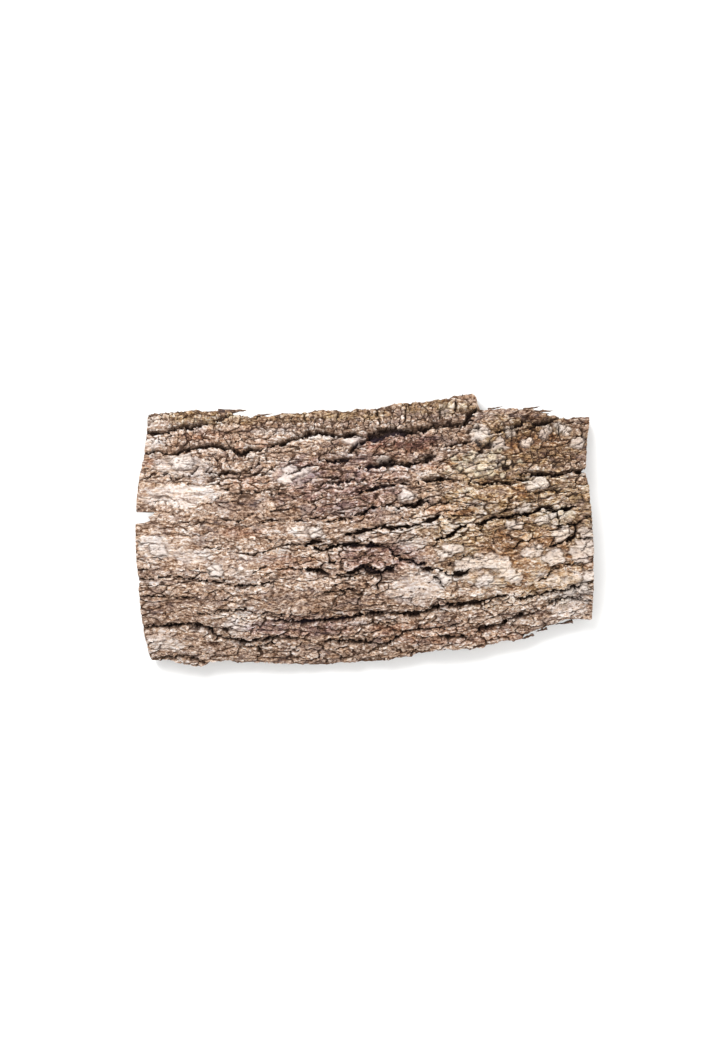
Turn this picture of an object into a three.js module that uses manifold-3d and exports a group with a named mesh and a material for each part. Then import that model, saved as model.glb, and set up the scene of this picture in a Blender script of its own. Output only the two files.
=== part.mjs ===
// A piece of bark from the trunk of a large broadleaf tree, lying on its long edges with its rough side up.
// Millimetres, +Z up, the grain along X. The bark grew as one piece, so it is one solid.
import * as THREE from "three";
import { mergeVertices } from "three/addons/utils/BufferGeometryUtils.js";
import Module from "manifold-3d";

// The arch that the bark kept from its trunk
const CREST_HEIGHT = 41; // the crest of the rough side above the surface that the bark lies on
const CREST_DROP = 5; // how much lower the crest is at the right end
const EDGE_HEIGHT = 17; // the rough side at the long edges
const THICKNESS = 15; // at the crest, from the smooth inner side to the tops of the ridges
const EDGE_CLEARANCE = 1.8; // the inner side above the surface along the long edges, between the feet
const HALF_WIDTH = 86; // from the crest line to a long edge, in plan
const RIGHT_END_NARROWING = 17; // the half width lost towards the right end
const NARROWING_FROM = 60;
const RIGHT_END = 150;
const LEFT_END = -150;
const GRAIN_DRIFT = 0.04; // the crest line moves back by this share of X
const ARCH_SINE = 0.5; // sine of the arch's slope angle at a long edge
const ARCH_REACH = 1.3; // the arch is worked out this far past its half width
const EDGE_WAVES = { height: 0.5, length: 26 }; // along the inner side's long edges
const INNER_WAVES = { height: 0.4, length: 40, width: 9 };

// The three low places that it rests on: two on the front edge, one on the back edge
const FEET = [
  { x: -100, side: -1, reach: 24 },
  { x: 82, side: -1, reach: 24 },
  { x: 28, side: 1, reach: 28 },
];
const FOOT_DIP = 5.2;

// Relief of the rough side
const SHOULDER = 2.4; // how far a fissure's sloping lips reach out beyond its walls
const FISSURE_END = 9; // the length over which a fissure dies out
const END_DEPTH = 0.35; // the share of its depth that a fissure still has at its ends
const WALL_CURVE = 1.25; // 1 would make the walls straight slopes
const SCALE_LENGTH = 15; // bark scales, along the grain and across it
const SCALE_WIDTH = 8;
const SCALE_STEP = 2.2; // the height that flaked-off scales leave behind
const LUMPS = { height: 0.7, length: 6, width: 3.5 };
const SMOOTH_LEVEL = 2.2; // how deep the weathered, flaked-off areas lie below the ridge tops
const SMOOTH_INSIDE = 0.7; // the shares of an ellipse's radius between which its smoothness fades out
const SMOOTH_OUTSIDE = 1.15;
const LUMPS_WORN_OFF = 0.8; // the share of the lumps that is gone there

// Each kind of random number has a salt of its own
const SALTS = { scaleX: 1, scaleY: 2, scaleLoss: 3, lumps: 4, edge: 5, inner: 6 };

// The grid that carries the relief
const COLUMN = 3.5;
const ROW = 3.25;
const GRID_HALF_LENGTH = 157.5;
const GRID_HALF_WIDTH = 97.5;
const SNAP = 0.46; // the share of a cell by which a grid point moves onto a fissure's bottom
const INNER_COLUMNS = 30;
const INNER_ROWS = 22;
const PAST_END = 10; // the block that hollows out the inner side reaches this far past the ends
const UNDERSIDE = -30; // below everything, for the blocks that are cut away
const TALLEST = 80;
const MERGE_TOLERANCE = 1e-4;

// The outline in plan. The two ends are sawn across the grain, the long edges are torn along it.
const LEFT_SAWN_END = [
  [-145, 79.5], [-145, 66], [-146.5, 50], [-147, 40], [-149, 30], [-149.8, 11.4], [-140.5, 10],
  [-140.8, 7.4], [-143.5, 5.3], [-149.8, 4.3], [-150.2, -12], [-149.2, -32.6], [-147.6, -33.4],
  [-148.4, -34.6], [-148.2, -50], [-146.4, -69], [-143.5, -88.4],
];
const FRONT_TORN_EDGE = [
  [-127, -88.4], [-117, -90.6], [-112, -92.2], [-108, -91.2], [-103.5, -87.8], [-88, -89], [-85, -90],
  [-78, -89.2], [-55, -89.4], [-48, -90.6], [-40, -90.7], [-26, -90.5], [-20, -88.9], [-3, -88.9],
  [16, -87.4], [24, -85.4], [30, -84.6], [41, -81.9], [53, -80.3], [60, -81], [78, -79.6], [88, -75.8],
  [99, -73.8], [106.5, -72.4], [109, -70.2], [117.5, -67.8], [118, -65.6], [126, -63.7], [133.6, -61.6],
  [133, -60], [143, -60.6],
];
const RIGHT_SAWN_END = [
  [151.5, -60.5], [151, -45], [150.2, -15], [149, 10], [147, 27], [145.6, 36.4], [142.6, 39.4],
  [145.6, 41.2], [147, 52], [148, 64], [150.2, 70], [150.8, 77],
];
const BACK_TORN_EDGE = [
  [137, 76.2], [129, 74.8], [125.6, 76.8], [119, 77.6], [125.2, 80.2], [114.6, 79.6], [112, 81.8],
  [99, 81.6], [85, 82.1], [84, 80.8], [76.6, 81.2], [74.2, 84.6], [74, 88.4], [72.6, 91.4], [70, 92.3],
  [60, 90.2], [50, 87.8], [33, 86.5], [19, 85.2], [12, 82.6], [-2, 81.4], [-5.5, 82], [-9, 79.6],
  [-17, 79.2], [-20.4, 80.6], [-33, 80.1], [-44, 78.2], [-56, 79.2], [-67, 77.6], [-86, 76.6],
  [-80, 79], [-81.4, 81.4], [-91, 79.8], [-95, 80.9], [-103, 79.8], [-113, 80.6], [-121, 79.7],
];

// The fissures, in plan, from the back edge to the front one.
// width is between the walls, depth below the ridge tops.
const FISSURES = [
  { width: 3.4, depth: 8, path: [[-147, 66.5], [-132, 66.5], [-123, 69], [-111, 70], [-100, 72]] },
  { width: 1.6, depth: 5, path: [[-102, 75], [-95, 75], [-86, 77.5]] },
  { width: 2.6, depth: 8, path: [[-148, 51], [-131, 51], [-119, 54], [-103, 57], [-90, 54], [-83, 51.2],
    [-77, 54.4], [-66, 54], [-57, 58.3], [-50, 59.2], [-47, 63], [-31, 64.6], [-10, 64], [0, 62]] },
  { width: 4.6, depth: 9, path: [[0, 62], [12, 64.6], [24, 66.4], [38, 67.6], [52, 69.8], [66, 72.4],
    [71, 80], [74, 82]] },
  { width: 2.2, depth: 5, path: [[0, 61], [-5, 57], [-11.5, 51.2]] },
  { width: 1, depth: 3.5, path: [[-90, 64], [-82, 65.8], [-75, 66], [-71, 68.4], [-62, 67]] },
  { width: 1.8, depth: 5, path: [[-108, 38.6], [-94, 39.4], [-84, 38], [-64, 38.4], [-57, 43.8]] },
  { width: 1.2, depth: 4, path: [[-82, 38.6], [-73, 41.6], [-69.6, 47]] },
  { width: 1, depth: 3, path: [[-149, 33], [-134, 38.4], [-126, 35], [-116, 36], [-108, 43]] },
  { width: 1.8, depth: 5.5, path: [[-51, 37], [-38, 41.4], [-28, 46], [-11, 47.6]] },
  { width: 2.6, depth: 7, path: [[-6, 41.4], [6, 43.2], [14, 45.8], [26, 45.2], [38, 46.8], [47, 49]] },
  { width: 2.4, depth: 6, path: [[46, 47], [56, 49.6], [58, 55.4]] },
  { width: 2.2, depth: 6, path: [[47, 55.4], [58, 56.2], [70, 58.8]] },
  { width: 2.4, depth: 5, path: [[73, 59], [77.4, 53], [86, 56.4]] },
  { width: 1.6, depth: 5, path: [[-34, 30.8], [-20, 32.4], [-8, 32.8], [-1, 34.8]] },
  { width: 2, depth: 6, path: [[-6, 25.4], [8, 28.4], [26, 30.4], [36, 30.2], [41, 33.2], [57, 34.6],
    [68, 34]] },
  { width: 1.6, depth: 6, path: [[66, 33.6], [70, 31], [86, 31.6], [104, 33]] },
  { width: 2, depth: 7, path: [[100, 36.8], [111, 37.6], [128, 37], [146, 40.4]] },
  { width: 1.2, depth: 4, path: [[-54, 3.4], [-42, 6.6], [-28, 7.4], [-20, 6], [-8, 10.4]] },
  { width: 2.2, depth: 6.5, path: [[-8, 10.4], [5, 14], [20, 15.2], [36, 18.8], [56, 18.8]] },
  { width: 1.4, depth: 5, path: [[55, 14.6], [66, 16.4], [78, 17.6]] },
  { width: 2, depth: 6.5, path: [[-15, -3.4], [4, -0.2], [12, 1.5], [32, 2.4], [41, 6], [51, 8.6]] },
  { width: 3.4, depth: 8, path: [[-42, -10.4], [-33, -10], [-25, -13.2], [-18, -11.4], [-7, -9.2],
    [6, -11], [17, -11]] },
  { width: 3.4, depth: 6, path: [[-31.5, -8.2], [-27.5, -7.4]] },
  { width: 1, depth: 4.5, path: [[-23.6, -13], [-24, -22.4]] },
  { width: 2.6, depth: 8, path: [[16, -12], [19.6, -17.6], [28, -20.2], [39, -22], [48, -28],
    [55, -30.2], [69, -27.2]] },
  { width: 2, depth: 6, path: [[46, -29], [50.6, -38.8]] },
  { width: 2.8, depth: 8, path: [[-56, -26.4], [-40, -26.6], [-30, -27.6], [-14, -28.6], [-1, -25.6],
    [8, -28.2], [20, -23.2]] },
  { width: 1.6, depth: 4.5, path: [[-28, -30.4], [-16, -30.9], [-2, -30.2]] },
  { width: 2, depth: 6, path: [[10.4, -28], [9.6, -33], [7.4, -39]] },
  { width: 2, depth: 6, path: [[35, -15.2], [42, -14], [47, -8.6], [59, -1.4]] },
  { width: 1.2, depth: 4, path: [[53, -15], [62, -17], [73, -19], [79, -17.2]] },
  { width: 2.6, depth: 8.5, path: [[75, 3.4], [81, 6.6], [94, 8.6], [108, 11.4], [120, 15.2],
    [138, 14.4]] },
  { width: 2.4, depth: 5, path: [[105, 17.8], [113, 19.4]] },
  { width: 2, depth: 6, path: [[127, 4], [138, 3.8], [138.4, -3.6], [131, -9], [115, -13.4]] },
  { width: 1.6, depth: 5, path: [[138.4, -4], [145, -6], [151, -4]] },
  { width: 1.6, depth: 4.5, path: [[109, -7], [102, -8.6], [97, -13.2], [89, -15]] },
  { width: 1.8, depth: 6, path: [[113, -35.4], [126, -26.6], [137, -22.6], [152, -21.4]] },
  { width: 2, depth: 5.5, path: [[-30, -43], [-20, -41.4], [-6, -41]] },
  { width: 1.8, depth: 5.5, path: [[-147, -32.4], [-131, -30.8], [-111, -33], [-92, -35.8],
    [-78, -37.6], [-60, -34.6]] },
  { width: 1.4, depth: 4, path: [[-150, -45], [-134, -44.4], [-117, -45.4]] },
  { width: 1.6, depth: 4.5, path: [[-109, -10.6], [-90, -12.6], [-76, -16.2], [-62, -10.6],
    [-42, -10.4]] },
  { width: 1.8, depth: 6, path: [[-113, -55.8], [-97, -54.4], [-84, -52.8], [-70, -55.6], [-50, -56.8]] },
  { width: 2.6, depth: 8, path: [[-68, -58], [-50, -61], [-33, -61], [-14, -59.4], [-2, -56.4],
    [20, -56], [40, -55.4], [48, -51.2]] },
  { width: 2, depth: 7.5, path: [[48, -51.2], [68, -50.2], [94, -45], [107, -46.2], [121, -42],
    [134, -39.4], [152, -34.4]] },
  { width: 2.4, depth: 7, path: [[-149, -64.6], [-130, -64.4], [-110, -64], [-101, -69], [-88, -73.8],
    [-72, -74.4], [-39, -72.4]] },
  { width: 2.6, depth: 6.5, path: [[-31, -76], [-12, -75.6], [8, -77], [17, -75], [26, -68.6],
    [50, -66.4], [62, -63]] },
  { width: 3, depth: 7.5, path: [[49, -73], [69, -72.4], [76, -67.8], [90, -64], [98, -59.2],
    [116, -56.4], [127, -49], [152, -46.8]] },
  { width: 1.4, depth: 4, path: [[-17, -86.4], [-8, -86], [-4, -87.4], [9, -88.4]] },
  { width: 2.2, depth: 5, path: [[-145, -87.4], [-132, -85.8], [-116, -86.6], [-107, -90]] },
  { width: 2.8, depth: 6.5, path: [[82, 63.6], [97, 68], [104, 70.6], [122, 72.8], [130, 75.4]] },
  { width: 2.6, depth: 5, path: [[112, 53], [124, 55.6], [130, 57.6], [149, 59.6]] },
  { width: 1, depth: 4, path: [[-18, 80], [-18.4, 73]] },
  { width: 1, depth: 4, path: [[7.6, 80], [10.2, 69]] },
  { width: 1, depth: 4, path: [[-28, 79], [-28.6, 69]] },
  { width: 1, depth: 4, path: [[142, 73], [142, 62]] },
];

// A hole left by a dead twig, with its raised collar
const KNOT = { x: 92.5, y: 42.4, floorRadius: 1.08, rimRadius: 5.4, depth: 6 };
const COLLAR = { radius: 7, height: 1, halfWidth: 2.5 };

// Weathered areas where the outer scales have flaked off: an ellipse each, along the grain
const SMOOTH_AREAS = [
  { x: -128, y: 34, length: 52, width: 34 },
  { x: -128, y: -11, length: 44, width: 16 },
  { x: -98, y: 26, length: 34, width: 8 },
  { x: -44, y: 38, length: 28, width: 14 },
  { x: 34, y: -41, length: 38, width: 16 },
  { x: 76, y: -26, length: 44, width: 14 },
];

const { smoothstep, lerp, clamp } = THREE.MathUtils;

const MIXERS = { i: 127.1, j: 311.7, salt: 74.7, spread: 43758.5453 };

// A fixed number from 0 to 1 for each cell of a grid
function cellNumber(i, j, salt) {
  const mixed = Math.sin(i * MIXERS.i + j * MIXERS.j + salt * MIXERS.salt) * MIXERS.spread;
  return mixed - Math.floor(mixed);
}

function noise(x, y, salt) {
  const i = Math.floor(x);
  const j = Math.floor(y);
  const u = smoothstep(x - i, 0, 1);
  const v = smoothstep(y - j, 0, 1);
  const low = lerp(cellNumber(i, j, salt), cellNumber(i + 1, j, salt), u);
  const high = lerp(cellNumber(i, j + 1, salt), cellNumber(i + 1, j + 1, salt), u);
  return lerp(low, high, v) * 2 - 1;
}

// The arch in section: 0 at the crest, 1 at a long edge
function archFall(across) {
  const flat = Math.sqrt(1 - ARCH_SINE ** 2);
  return (1 - Math.sqrt(1 - (ARCH_SINE * across) ** 2)) / (1 - flat);
}

function archPlace(x, y) {
  const narrowed = smoothstep(x, NARROWING_FROM, RIGHT_END);
  const half = HALF_WIDTH - RIGHT_END_NARROWING * narrowed;
  const crest = CREST_HEIGHT - CREST_DROP * narrowed;
  return { crest, across: clamp((y - GRAIN_DRIFT * x) / half, -ARCH_REACH, ARCH_REACH) };
}

function envelopeHeight(x, y) {
  const { crest, across } = archPlace(x, y);
  return crest - (crest - EDGE_HEIGHT) * archFall(across);
}

function innerHeight(x, y) {
  const { crest, across } = archPlace(x, y);
  const dip = FEET.filter((foot) => foot.side * across > 0)
    .map((foot) => FOOT_DIP * (1 - smoothstep(Math.abs(x - foot.x), 0, foot.reach)))
    .reduce((a, b) => Math.max(a, b), 0);
  const edgeWave = EDGE_WAVES.height * noise(x / EDGE_WAVES.length, Math.sign(across), SALTS.edge);
  const wave = INNER_WAVES.height * noise(x / INNER_WAVES.length, y / INNER_WAVES.width, SALTS.inner);
  const edge = EDGE_CLEARANCE + edgeWave - dip;
  const top = crest - THICKNESS;
  return top - (top - edge) * archFall(clamp(across, -1, 1)) + wave;
}

// How far a point is from a fissure's line, where on that line it is, and how near the line's ends
function nearestOnPath(path, x, y) {
  const best = { distance: Infinity };
  let along = 0;
  for (let i = 0; i + 1 < path.length; i++) {
    const [ax, ay] = path[i];
    const [bx, by] = path[i + 1];
    const length = Math.hypot(bx - ax, by - ay);
    const share = clamp(((x - ax) * (bx - ax) + (y - ay) * (by - ay)) / length ** 2, 0, 1);
    const px = lerp(ax, bx, share);
    const py = lerp(ay, by, share);
    const distance = Math.hypot(x - px, y - py);
    if (distance < best.distance) {
      Object.assign(best, { distance, x: px, y: py, along: along + share * length });
    }
    along += length;
  }
  best.toEnd = Math.min(best.along, along - best.along);
  return best;
}

function fissureDepth(x, y) {
  let deepest = 0;
  for (const { width, depth, path } of FISSURES) {
    const near = nearestOnPath(path, x, y);
    const reach = width / 2 + SHOULDER;
    if (near.distance > reach) continue;
    const full = depth * lerp(END_DEPTH, 1, clamp(near.toEnd / FISSURE_END, 0, 1));
    deepest = Math.max(deepest, full * (1 - near.distance / reach) ** WALL_CURVE);
  }
  return deepest;
}

// 0 outside the flaked-off areas, 1 inside them
function smoothness(x, y) {
  return SMOOTH_AREAS.map((area) => {
    const out = Math.hypot((x - area.x) / (area.length / 2), (y - area.y) / (area.width / 2));
    return 1 - smoothstep(out, SMOOTH_INSIDE, SMOOTH_OUTSIDE);
  }).reduce((a, b) => Math.max(a, b), 0);
}

// How far the scale at this place has flaked away: each scale has a level of its own
function scaleLoss(x, y) {
  const column = x / SCALE_LENGTH;
  const row = (y - GRAIN_DRIFT * x) / SCALE_WIDTH;
  let nearest = Infinity;
  let loss = 0;
  for (let i = Math.floor(column) - 1; i <= Math.floor(column) + 1; i++) {
    for (let j = Math.floor(row) - 1; j <= Math.floor(row) + 1; j++) {
      const middleX = i + cellNumber(i, j, SALTS.scaleX);
      const middleY = j + cellNumber(i, j, SALTS.scaleY);
      const far = Math.hypot(middleX - column, middleY - row);
      if (far < nearest) {
        nearest = far;
        loss = SCALE_STEP * cellNumber(i, j, SALTS.scaleLoss);
      }
    }
  }
  return loss;
}

function knotRelief(x, y) {
  const out = Math.hypot(x - KNOT.x, y - KNOT.y);
  const collar = COLLAR.height * Math.max(0, 1 - Math.abs(out - COLLAR.radius) / COLLAR.halfWidth);
  return collar - KNOT.depth * (1 - smoothstep(out, KNOT.floorRadius, KNOT.rimRadius));
}

function relief(x, y) {
  const smooth = smoothness(x, y);
  const scales = lerp(scaleLoss(x, y), SMOOTH_LEVEL, smooth);
  const lumps = LUMPS.height * noise(x / LUMPS.length, y / LUMPS.width, SALTS.lumps);
  const rough = lumps * (1 - LUMPS_WORN_OFF * smooth);
  return rough - Math.max(scales, fissureDepth(x, y)) + knotRelief(x, y);
}

// The rough side: the relief stands square to the arch
function roughSide(x, y) {
  const step = 0.5;
  const slope = (envelopeHeight(x, y + step) - envelopeHeight(x, y - step)) / (2 * step);
  const normal = new THREE.Vector2(-slope, 1).normalize();
  const out = relief(x, y);
  return new THREE.Vector3(x, y + normal.x * out, envelopeHeight(x, y) + normal.y * out);
}

// A grid point near a fissure moves onto its line, so that the groove stays sharp on a coarse grid
function ontoFissure(x, y) {
  let best = { distance: SNAP * ROW, x, y };
  for (const { path } of FISSURES) {
    const near = nearestOnPath(path, x, y);
    if (near.distance < best.distance) best = near;
  }
  return [best.x, best.y];
}

// A closed block with surface(i, j) on top and a flat bottom
function block(surface, columns, rows) {
  const positions = [];
  const index = [];
  const at = (i, j, level) => (level * (rows + 1) + j) * (columns + 1) + i;
  for (let level = 0; level < 2; level++) {
    for (let j = 0; j <= rows; j++) {
      for (let i = 0; i <= columns; i++) {
        const point = surface(i, j);
        positions.push(point.x, point.y, level ? point.z : UNDERSIDE);
      }
    }
  }
  const quad = (a, b, c, d) => index.push(a, b, c, a, c, d);
  for (let j = 0; j < rows; j++) {
    for (let i = 0; i < columns; i++) {
      quad(at(i, j, 1), at(i + 1, j, 1), at(i + 1, j + 1, 1), at(i, j + 1, 1));
      quad(at(i, j, 0), at(i, j + 1, 0), at(i + 1, j + 1, 0), at(i + 1, j, 0));
    }
  }
  for (let i = 0; i < columns; i++) {
    quad(at(i, 0, 0), at(i + 1, 0, 0), at(i + 1, 0, 1), at(i, 0, 1));
    quad(at(i + 1, rows, 0), at(i, rows, 0), at(i, rows, 1), at(i + 1, rows, 1));
  }
  for (let j = 0; j < rows; j++) {
    quad(at(0, j + 1, 0), at(0, j, 0), at(0, j, 1), at(0, j + 1, 1));
    quad(at(columns, j, 0), at(columns, j + 1, 0), at(columns, j + 1, 1), at(columns, j, 1));
  }
  const geometry = new THREE.BufferGeometry();
  geometry.setAttribute("position", new THREE.Float32BufferAttribute(positions, 3));
  geometry.setIndex(index);
  return geometry;
}

function roughBlock() {
  const columns = Math.round((2 * GRID_HALF_LENGTH) / COLUMN);
  const rows = Math.round((2 * GRID_HALF_WIDTH) / ROW);
  return block(
    (i, j) => {
      const [x, y] = ontoFissure(COLUMN * i - GRID_HALF_LENGTH, ROW * j - GRID_HALF_WIDTH);
      return roughSide(x, y);
    },
    columns,
    rows,
  );
}

function hollowBlock() {
  return block(
    (i, j) => {
      const x = lerp(LEFT_END - PAST_END, RIGHT_END + PAST_END, i / INNER_COLUMNS);
      const y = lerp(-GRID_HALF_WIDTH, GRID_HALF_WIDTH, j / INNER_ROWS);
      return new THREE.Vector3(x, y, innerHeight(x, y));
    },
    INNER_COLUMNS,
    INNER_ROWS,
  );
}

// The outline stood up as a prism. It starts at the surface that the bark lies on: the feet are cut flat.
function outlinePrism() {
  const points = [...LEFT_SAWN_END, ...FRONT_TORN_EDGE, ...RIGHT_SAWN_END, ...BACK_TORN_EDGE];
  const shape = new THREE.Shape(points.map(([x, y]) => new THREE.Vector2(x, y)));
  return new THREE.ExtrudeGeometry(shape, { depth: TALLEST, bevelEnabled: false });
}

const wasm = await Module();
wasm.setup();

function solidOf(geometry) {
  const bare = geometry.clone();
  bare.deleteAttribute("normal");
  bare.deleteAttribute("uv");
  const merged = mergeVertices(bare, MERGE_TOLERANCE);
  return new wasm.Manifold(
    new wasm.Mesh({
      numProp: 3,
      vertProperties: new Float32Array(merged.attributes.position.array),
      triVerts: new Uint32Array(merged.index.array),
    }),
  );
}

function geometryOf(solid) {
  const mesh = solid.getMesh();
  const geometry = new THREE.BufferGeometry();
  geometry.setAttribute("position", new THREE.BufferAttribute(mesh.vertProperties, 3));
  geometry.setIndex(new THREE.BufferAttribute(mesh.triVerts, 1));
  geometry.computeVertexNormals();
  return geometry;
}

function bark() {
  const solid = solidOf(roughBlock()).intersect(solidOf(outlinePrism())).subtract(solidOf(hollowBlock()));
  const geometry = geometryOf(solid);
  geometry.computeBoundingBox();
  const middle = geometry.boundingBox.getCenter(new THREE.Vector3());
  geometry.translate(-middle.x, -middle.y, 0);
  const material = new THREE.MeshStandardMaterial({ color: "#9c8069", roughness: 0.95, metalness: 0 });
  const mesh = new THREE.Mesh(geometry, material);
  mesh.name = "bark";
  return mesh;
}

const group = new THREE.Group();
group.add(bark());

export default group;
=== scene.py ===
"""A piece of bark: its relief, its flaking scales and its colours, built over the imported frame.

Lengths are in millimetres until a mesh is made. X runs along the grain, Y across it and Z up.
A salt is a whole number that tells one random pattern from another.
"""

import math

import bpy
import numpy as np
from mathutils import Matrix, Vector


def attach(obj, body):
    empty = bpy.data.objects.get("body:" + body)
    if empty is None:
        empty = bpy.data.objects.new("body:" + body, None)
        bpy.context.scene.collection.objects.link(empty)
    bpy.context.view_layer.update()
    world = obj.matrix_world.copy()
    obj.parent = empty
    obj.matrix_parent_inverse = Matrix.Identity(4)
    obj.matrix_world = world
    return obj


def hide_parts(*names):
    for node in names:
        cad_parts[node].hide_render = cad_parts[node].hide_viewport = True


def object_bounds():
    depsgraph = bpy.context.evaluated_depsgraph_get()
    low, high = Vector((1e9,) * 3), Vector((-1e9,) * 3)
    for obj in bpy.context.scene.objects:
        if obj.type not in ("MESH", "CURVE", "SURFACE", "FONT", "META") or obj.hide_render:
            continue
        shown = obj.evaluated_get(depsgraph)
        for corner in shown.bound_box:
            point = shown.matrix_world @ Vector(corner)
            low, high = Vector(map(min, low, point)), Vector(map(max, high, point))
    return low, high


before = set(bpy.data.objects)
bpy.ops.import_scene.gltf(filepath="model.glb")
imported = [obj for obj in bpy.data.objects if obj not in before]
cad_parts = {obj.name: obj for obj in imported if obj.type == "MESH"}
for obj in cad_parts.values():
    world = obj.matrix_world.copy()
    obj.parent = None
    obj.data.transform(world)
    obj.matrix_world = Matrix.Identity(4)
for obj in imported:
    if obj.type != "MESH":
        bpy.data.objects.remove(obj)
CAD_BOX = [[float(value) for value in corner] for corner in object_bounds()]

MM = 0.001
BOX_MARGIN = 0.00001  # metres that every piece stays inside the solid's box

# The camera looks straight down from here, in metres, and the photograph gives its focal length
CAMERA_PLACE = (-0.004, 0.003, 1.1)
PHOTO_HEIGHT_PX = 1051
FOCAL_PX = 1622
SENSOR = 36.0
LIGHT_TARGET = (0, 0, 0.02)
FLOOR_HALF = 3.0

# The arch, as the solid has it
CREST_HEIGHT = 41.0
CREST_DROP = 5.0
EDGE_HEIGHT = 17.0
THICKNESS = 15.0
EDGE_CLEARANCE = 1.8
HALF_LENGTH = 150.0
HALF_WIDTH = 86.0
RIGHT_END_NARROWING = 17.0
NARROWING_FROM = 60.0
GRAIN_DRIFT = 0.04
ARCH_SINE = 0.5
FARTHEST_ACROSS = 1.3  # how far the arch goes on past its half width
FEET = [(-100.0, -1, 24.0), (82.0, -1, 24.0), (28.0, 1, 28.0)]  # place along the grain, side and reach
FOOT_DIP = 5.2
LEAST_THICKNESS = 3.0  # left under the deepest fissures
SHIFT = (-0.65, -0.05)  # from the outline's own places to the middle of its box
INNER_WAVES = [(0.35, 40, 9, 6), (0.16, 30, 1.6, 7), (0.08, 12, 0.8, 8)]  # height, length, width and salt

# The mesh before it is thinned out
COLUMN = 0.5
ROW = 0.4
WIDEST = 180.0  # only for the count of rows
WALL_ROWS = 16
EDGE_BLEND = 30.0  # how far inwards the grid follows the torn edges
EDGE_SMOOTHING = 12.0
TORN_FRAY = 0.35
SAWN_FRAY = 0.15
MOST_TRIANGLES = 188_000
BARK_SHARP_ANGLE = 55
PIECE_SHARP_ANGLE = 50

# The rough side: length and width of what it is made of, and heights
PLATE_SIZE = (16, 5.4)
LUMP_SIZE = (3.7, 1.9)
BLOCK_SIZE = (4.4, 5.4)
LAYER_SIZE = (16, 6.5)
LAYER_COUNT = 4.5
LAYER_SLOPE = 0.2
LAYERS_HEIGHT = 1.9
TEXTURE_BLUR = 2.4  # in grid steps
HIGH_BLUR = 9
RELIEF_AS_ONE = 0.8  # relief over its surroundings that counts fully as a rim or a crevice

FISSURE_REACH = 12.0
DEEPEST = 4.3
TAPER_LENGTH = 7.0
STEP_SIZE = (4.5, 3)  # the pieces by which a fissure's course jumps
LITTER_SIZE = (1.9, 1.2)  # the chips that fray its walls and lie in it
SHADED_WALL = 1.9  # how far a fissure's wall slopes on the side away from the light, and towards it
SUNNY_WALL = 0.7

# The outline. The sawn ends give X for Y, the torn edges give Y for X.
LEFT_END = [
    (-88.4, -143.5), (-85, -143.8), (-80, -144.4), (-70, -146.1), (-60, -147.1), (-50, -148.1),
    (-40, -148.5), (-35, -148.3), (-34, -147), (-33.4, -148.2), (-30, -148.8), (-20, -149.8),
    (-10, -150.2), (0, -150.2), (4.2, -150), (4.8, -144), (6.5, -140.5), (8.8, -142), (10.2, -138.5),
    (11.7, -138.2), (12, -150), (20, -149.8), (30, -149), (40, -147.6), (50, -146), (60, -145.2),
    (66, -145), (80, -145),
]
RIGHT_END = [
    (-61, 151.5), (-50, 151.4), (-40, 151.2), (-30, 150.8), (-10, 150.3), (0, 149.8), (10, 149),
    (20, 148.1), (30, 147.1), (35, 146.2), (38, 145.1), (40, 142), (41.2, 145.8), (45, 145.9),
    (50, 146.7), (55, 146.9), (60, 147.4), (65, 148.2), (70, 149.6), (77, 150.4),
]
FRONT_EDGE = [
    (-144, -88), (-134, -87.5), (-130, -88.5), (-125, -90), (-118, -91), (-110, -92.2), (-106, -90),
    (-103.5, -88.3), (-93, -88.3), (-86, -90), (-76, -89.3), (-62, -89.6), (-55, -90.3), (-45, -90.5),
    (-35, -91), (-26, -90.8), (-22, -90), (-15, -89.3), (-6, -89.6), (-3, -88.8), (5, -88.6), (15, -88.3),
    (17, -87.3), (24, -86), (28, -85.5), (32, -85.8), (33, -84.3), (36, -83), (45, -82), (50, -80.5),
    (55, -80), (60, -81), (65, -80), (70, -80.5), (75, -79.3), (80, -79.6), (82, -78), (88, -77),
    (89.5, -75.3), (100, -75), (102, -73.6), (106, -72.8), (108, -70.6), (110, -70.3), (112, -68.8),
    (115, -68.3), (118, -66.8), (121, -65.6), (124, -64.2), (127, -63.4), (130, -61.2), (135, -60.2),
    (140, -60.4), (145, -60), (152, -60.7),
]
BACK_EDGE = [
    (-145, 78.5), (-140, 79), (-130, 79.5), (-120, 79.8), (-113, 81.3), (-110, 80), (-99, 80.4),
    (-96, 81.3), (-90, 79.2), (-88, 77.2), (-80, 76.2), (-77, 75.5), (-73, 76.7), (-63, 76.7),
    (-58, 78.2), (-56, 79), (-42, 78.5), (-34, 80.1), (-20, 80.7), (-15, 79.6), (-10, 79.5), (-5.5, 82),
    (-3, 81), (5, 81.5), (14, 82.9), (19, 85.3), (22, 84.3), (30, 85.3), (33, 86.5), (35, 85.8), (47, 88),
    (50, 87.4), (60, 90), (65, 91.2), (71, 92.3), (73, 91.7), (74.5, 90.2), (75.3, 85), (77, 81.3),
    (85, 80.8), (90, 81.8), (95, 81.4), (98.5, 82.3), (100, 81.2), (105, 82), (112, 81.6), (115, 79.9),
    (120, 78.5), (123, 77), (127, 76.8), (130, 74.8), (133, 75.6), (137, 75.2), (140, 76), (150, 76.6),
]

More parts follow.
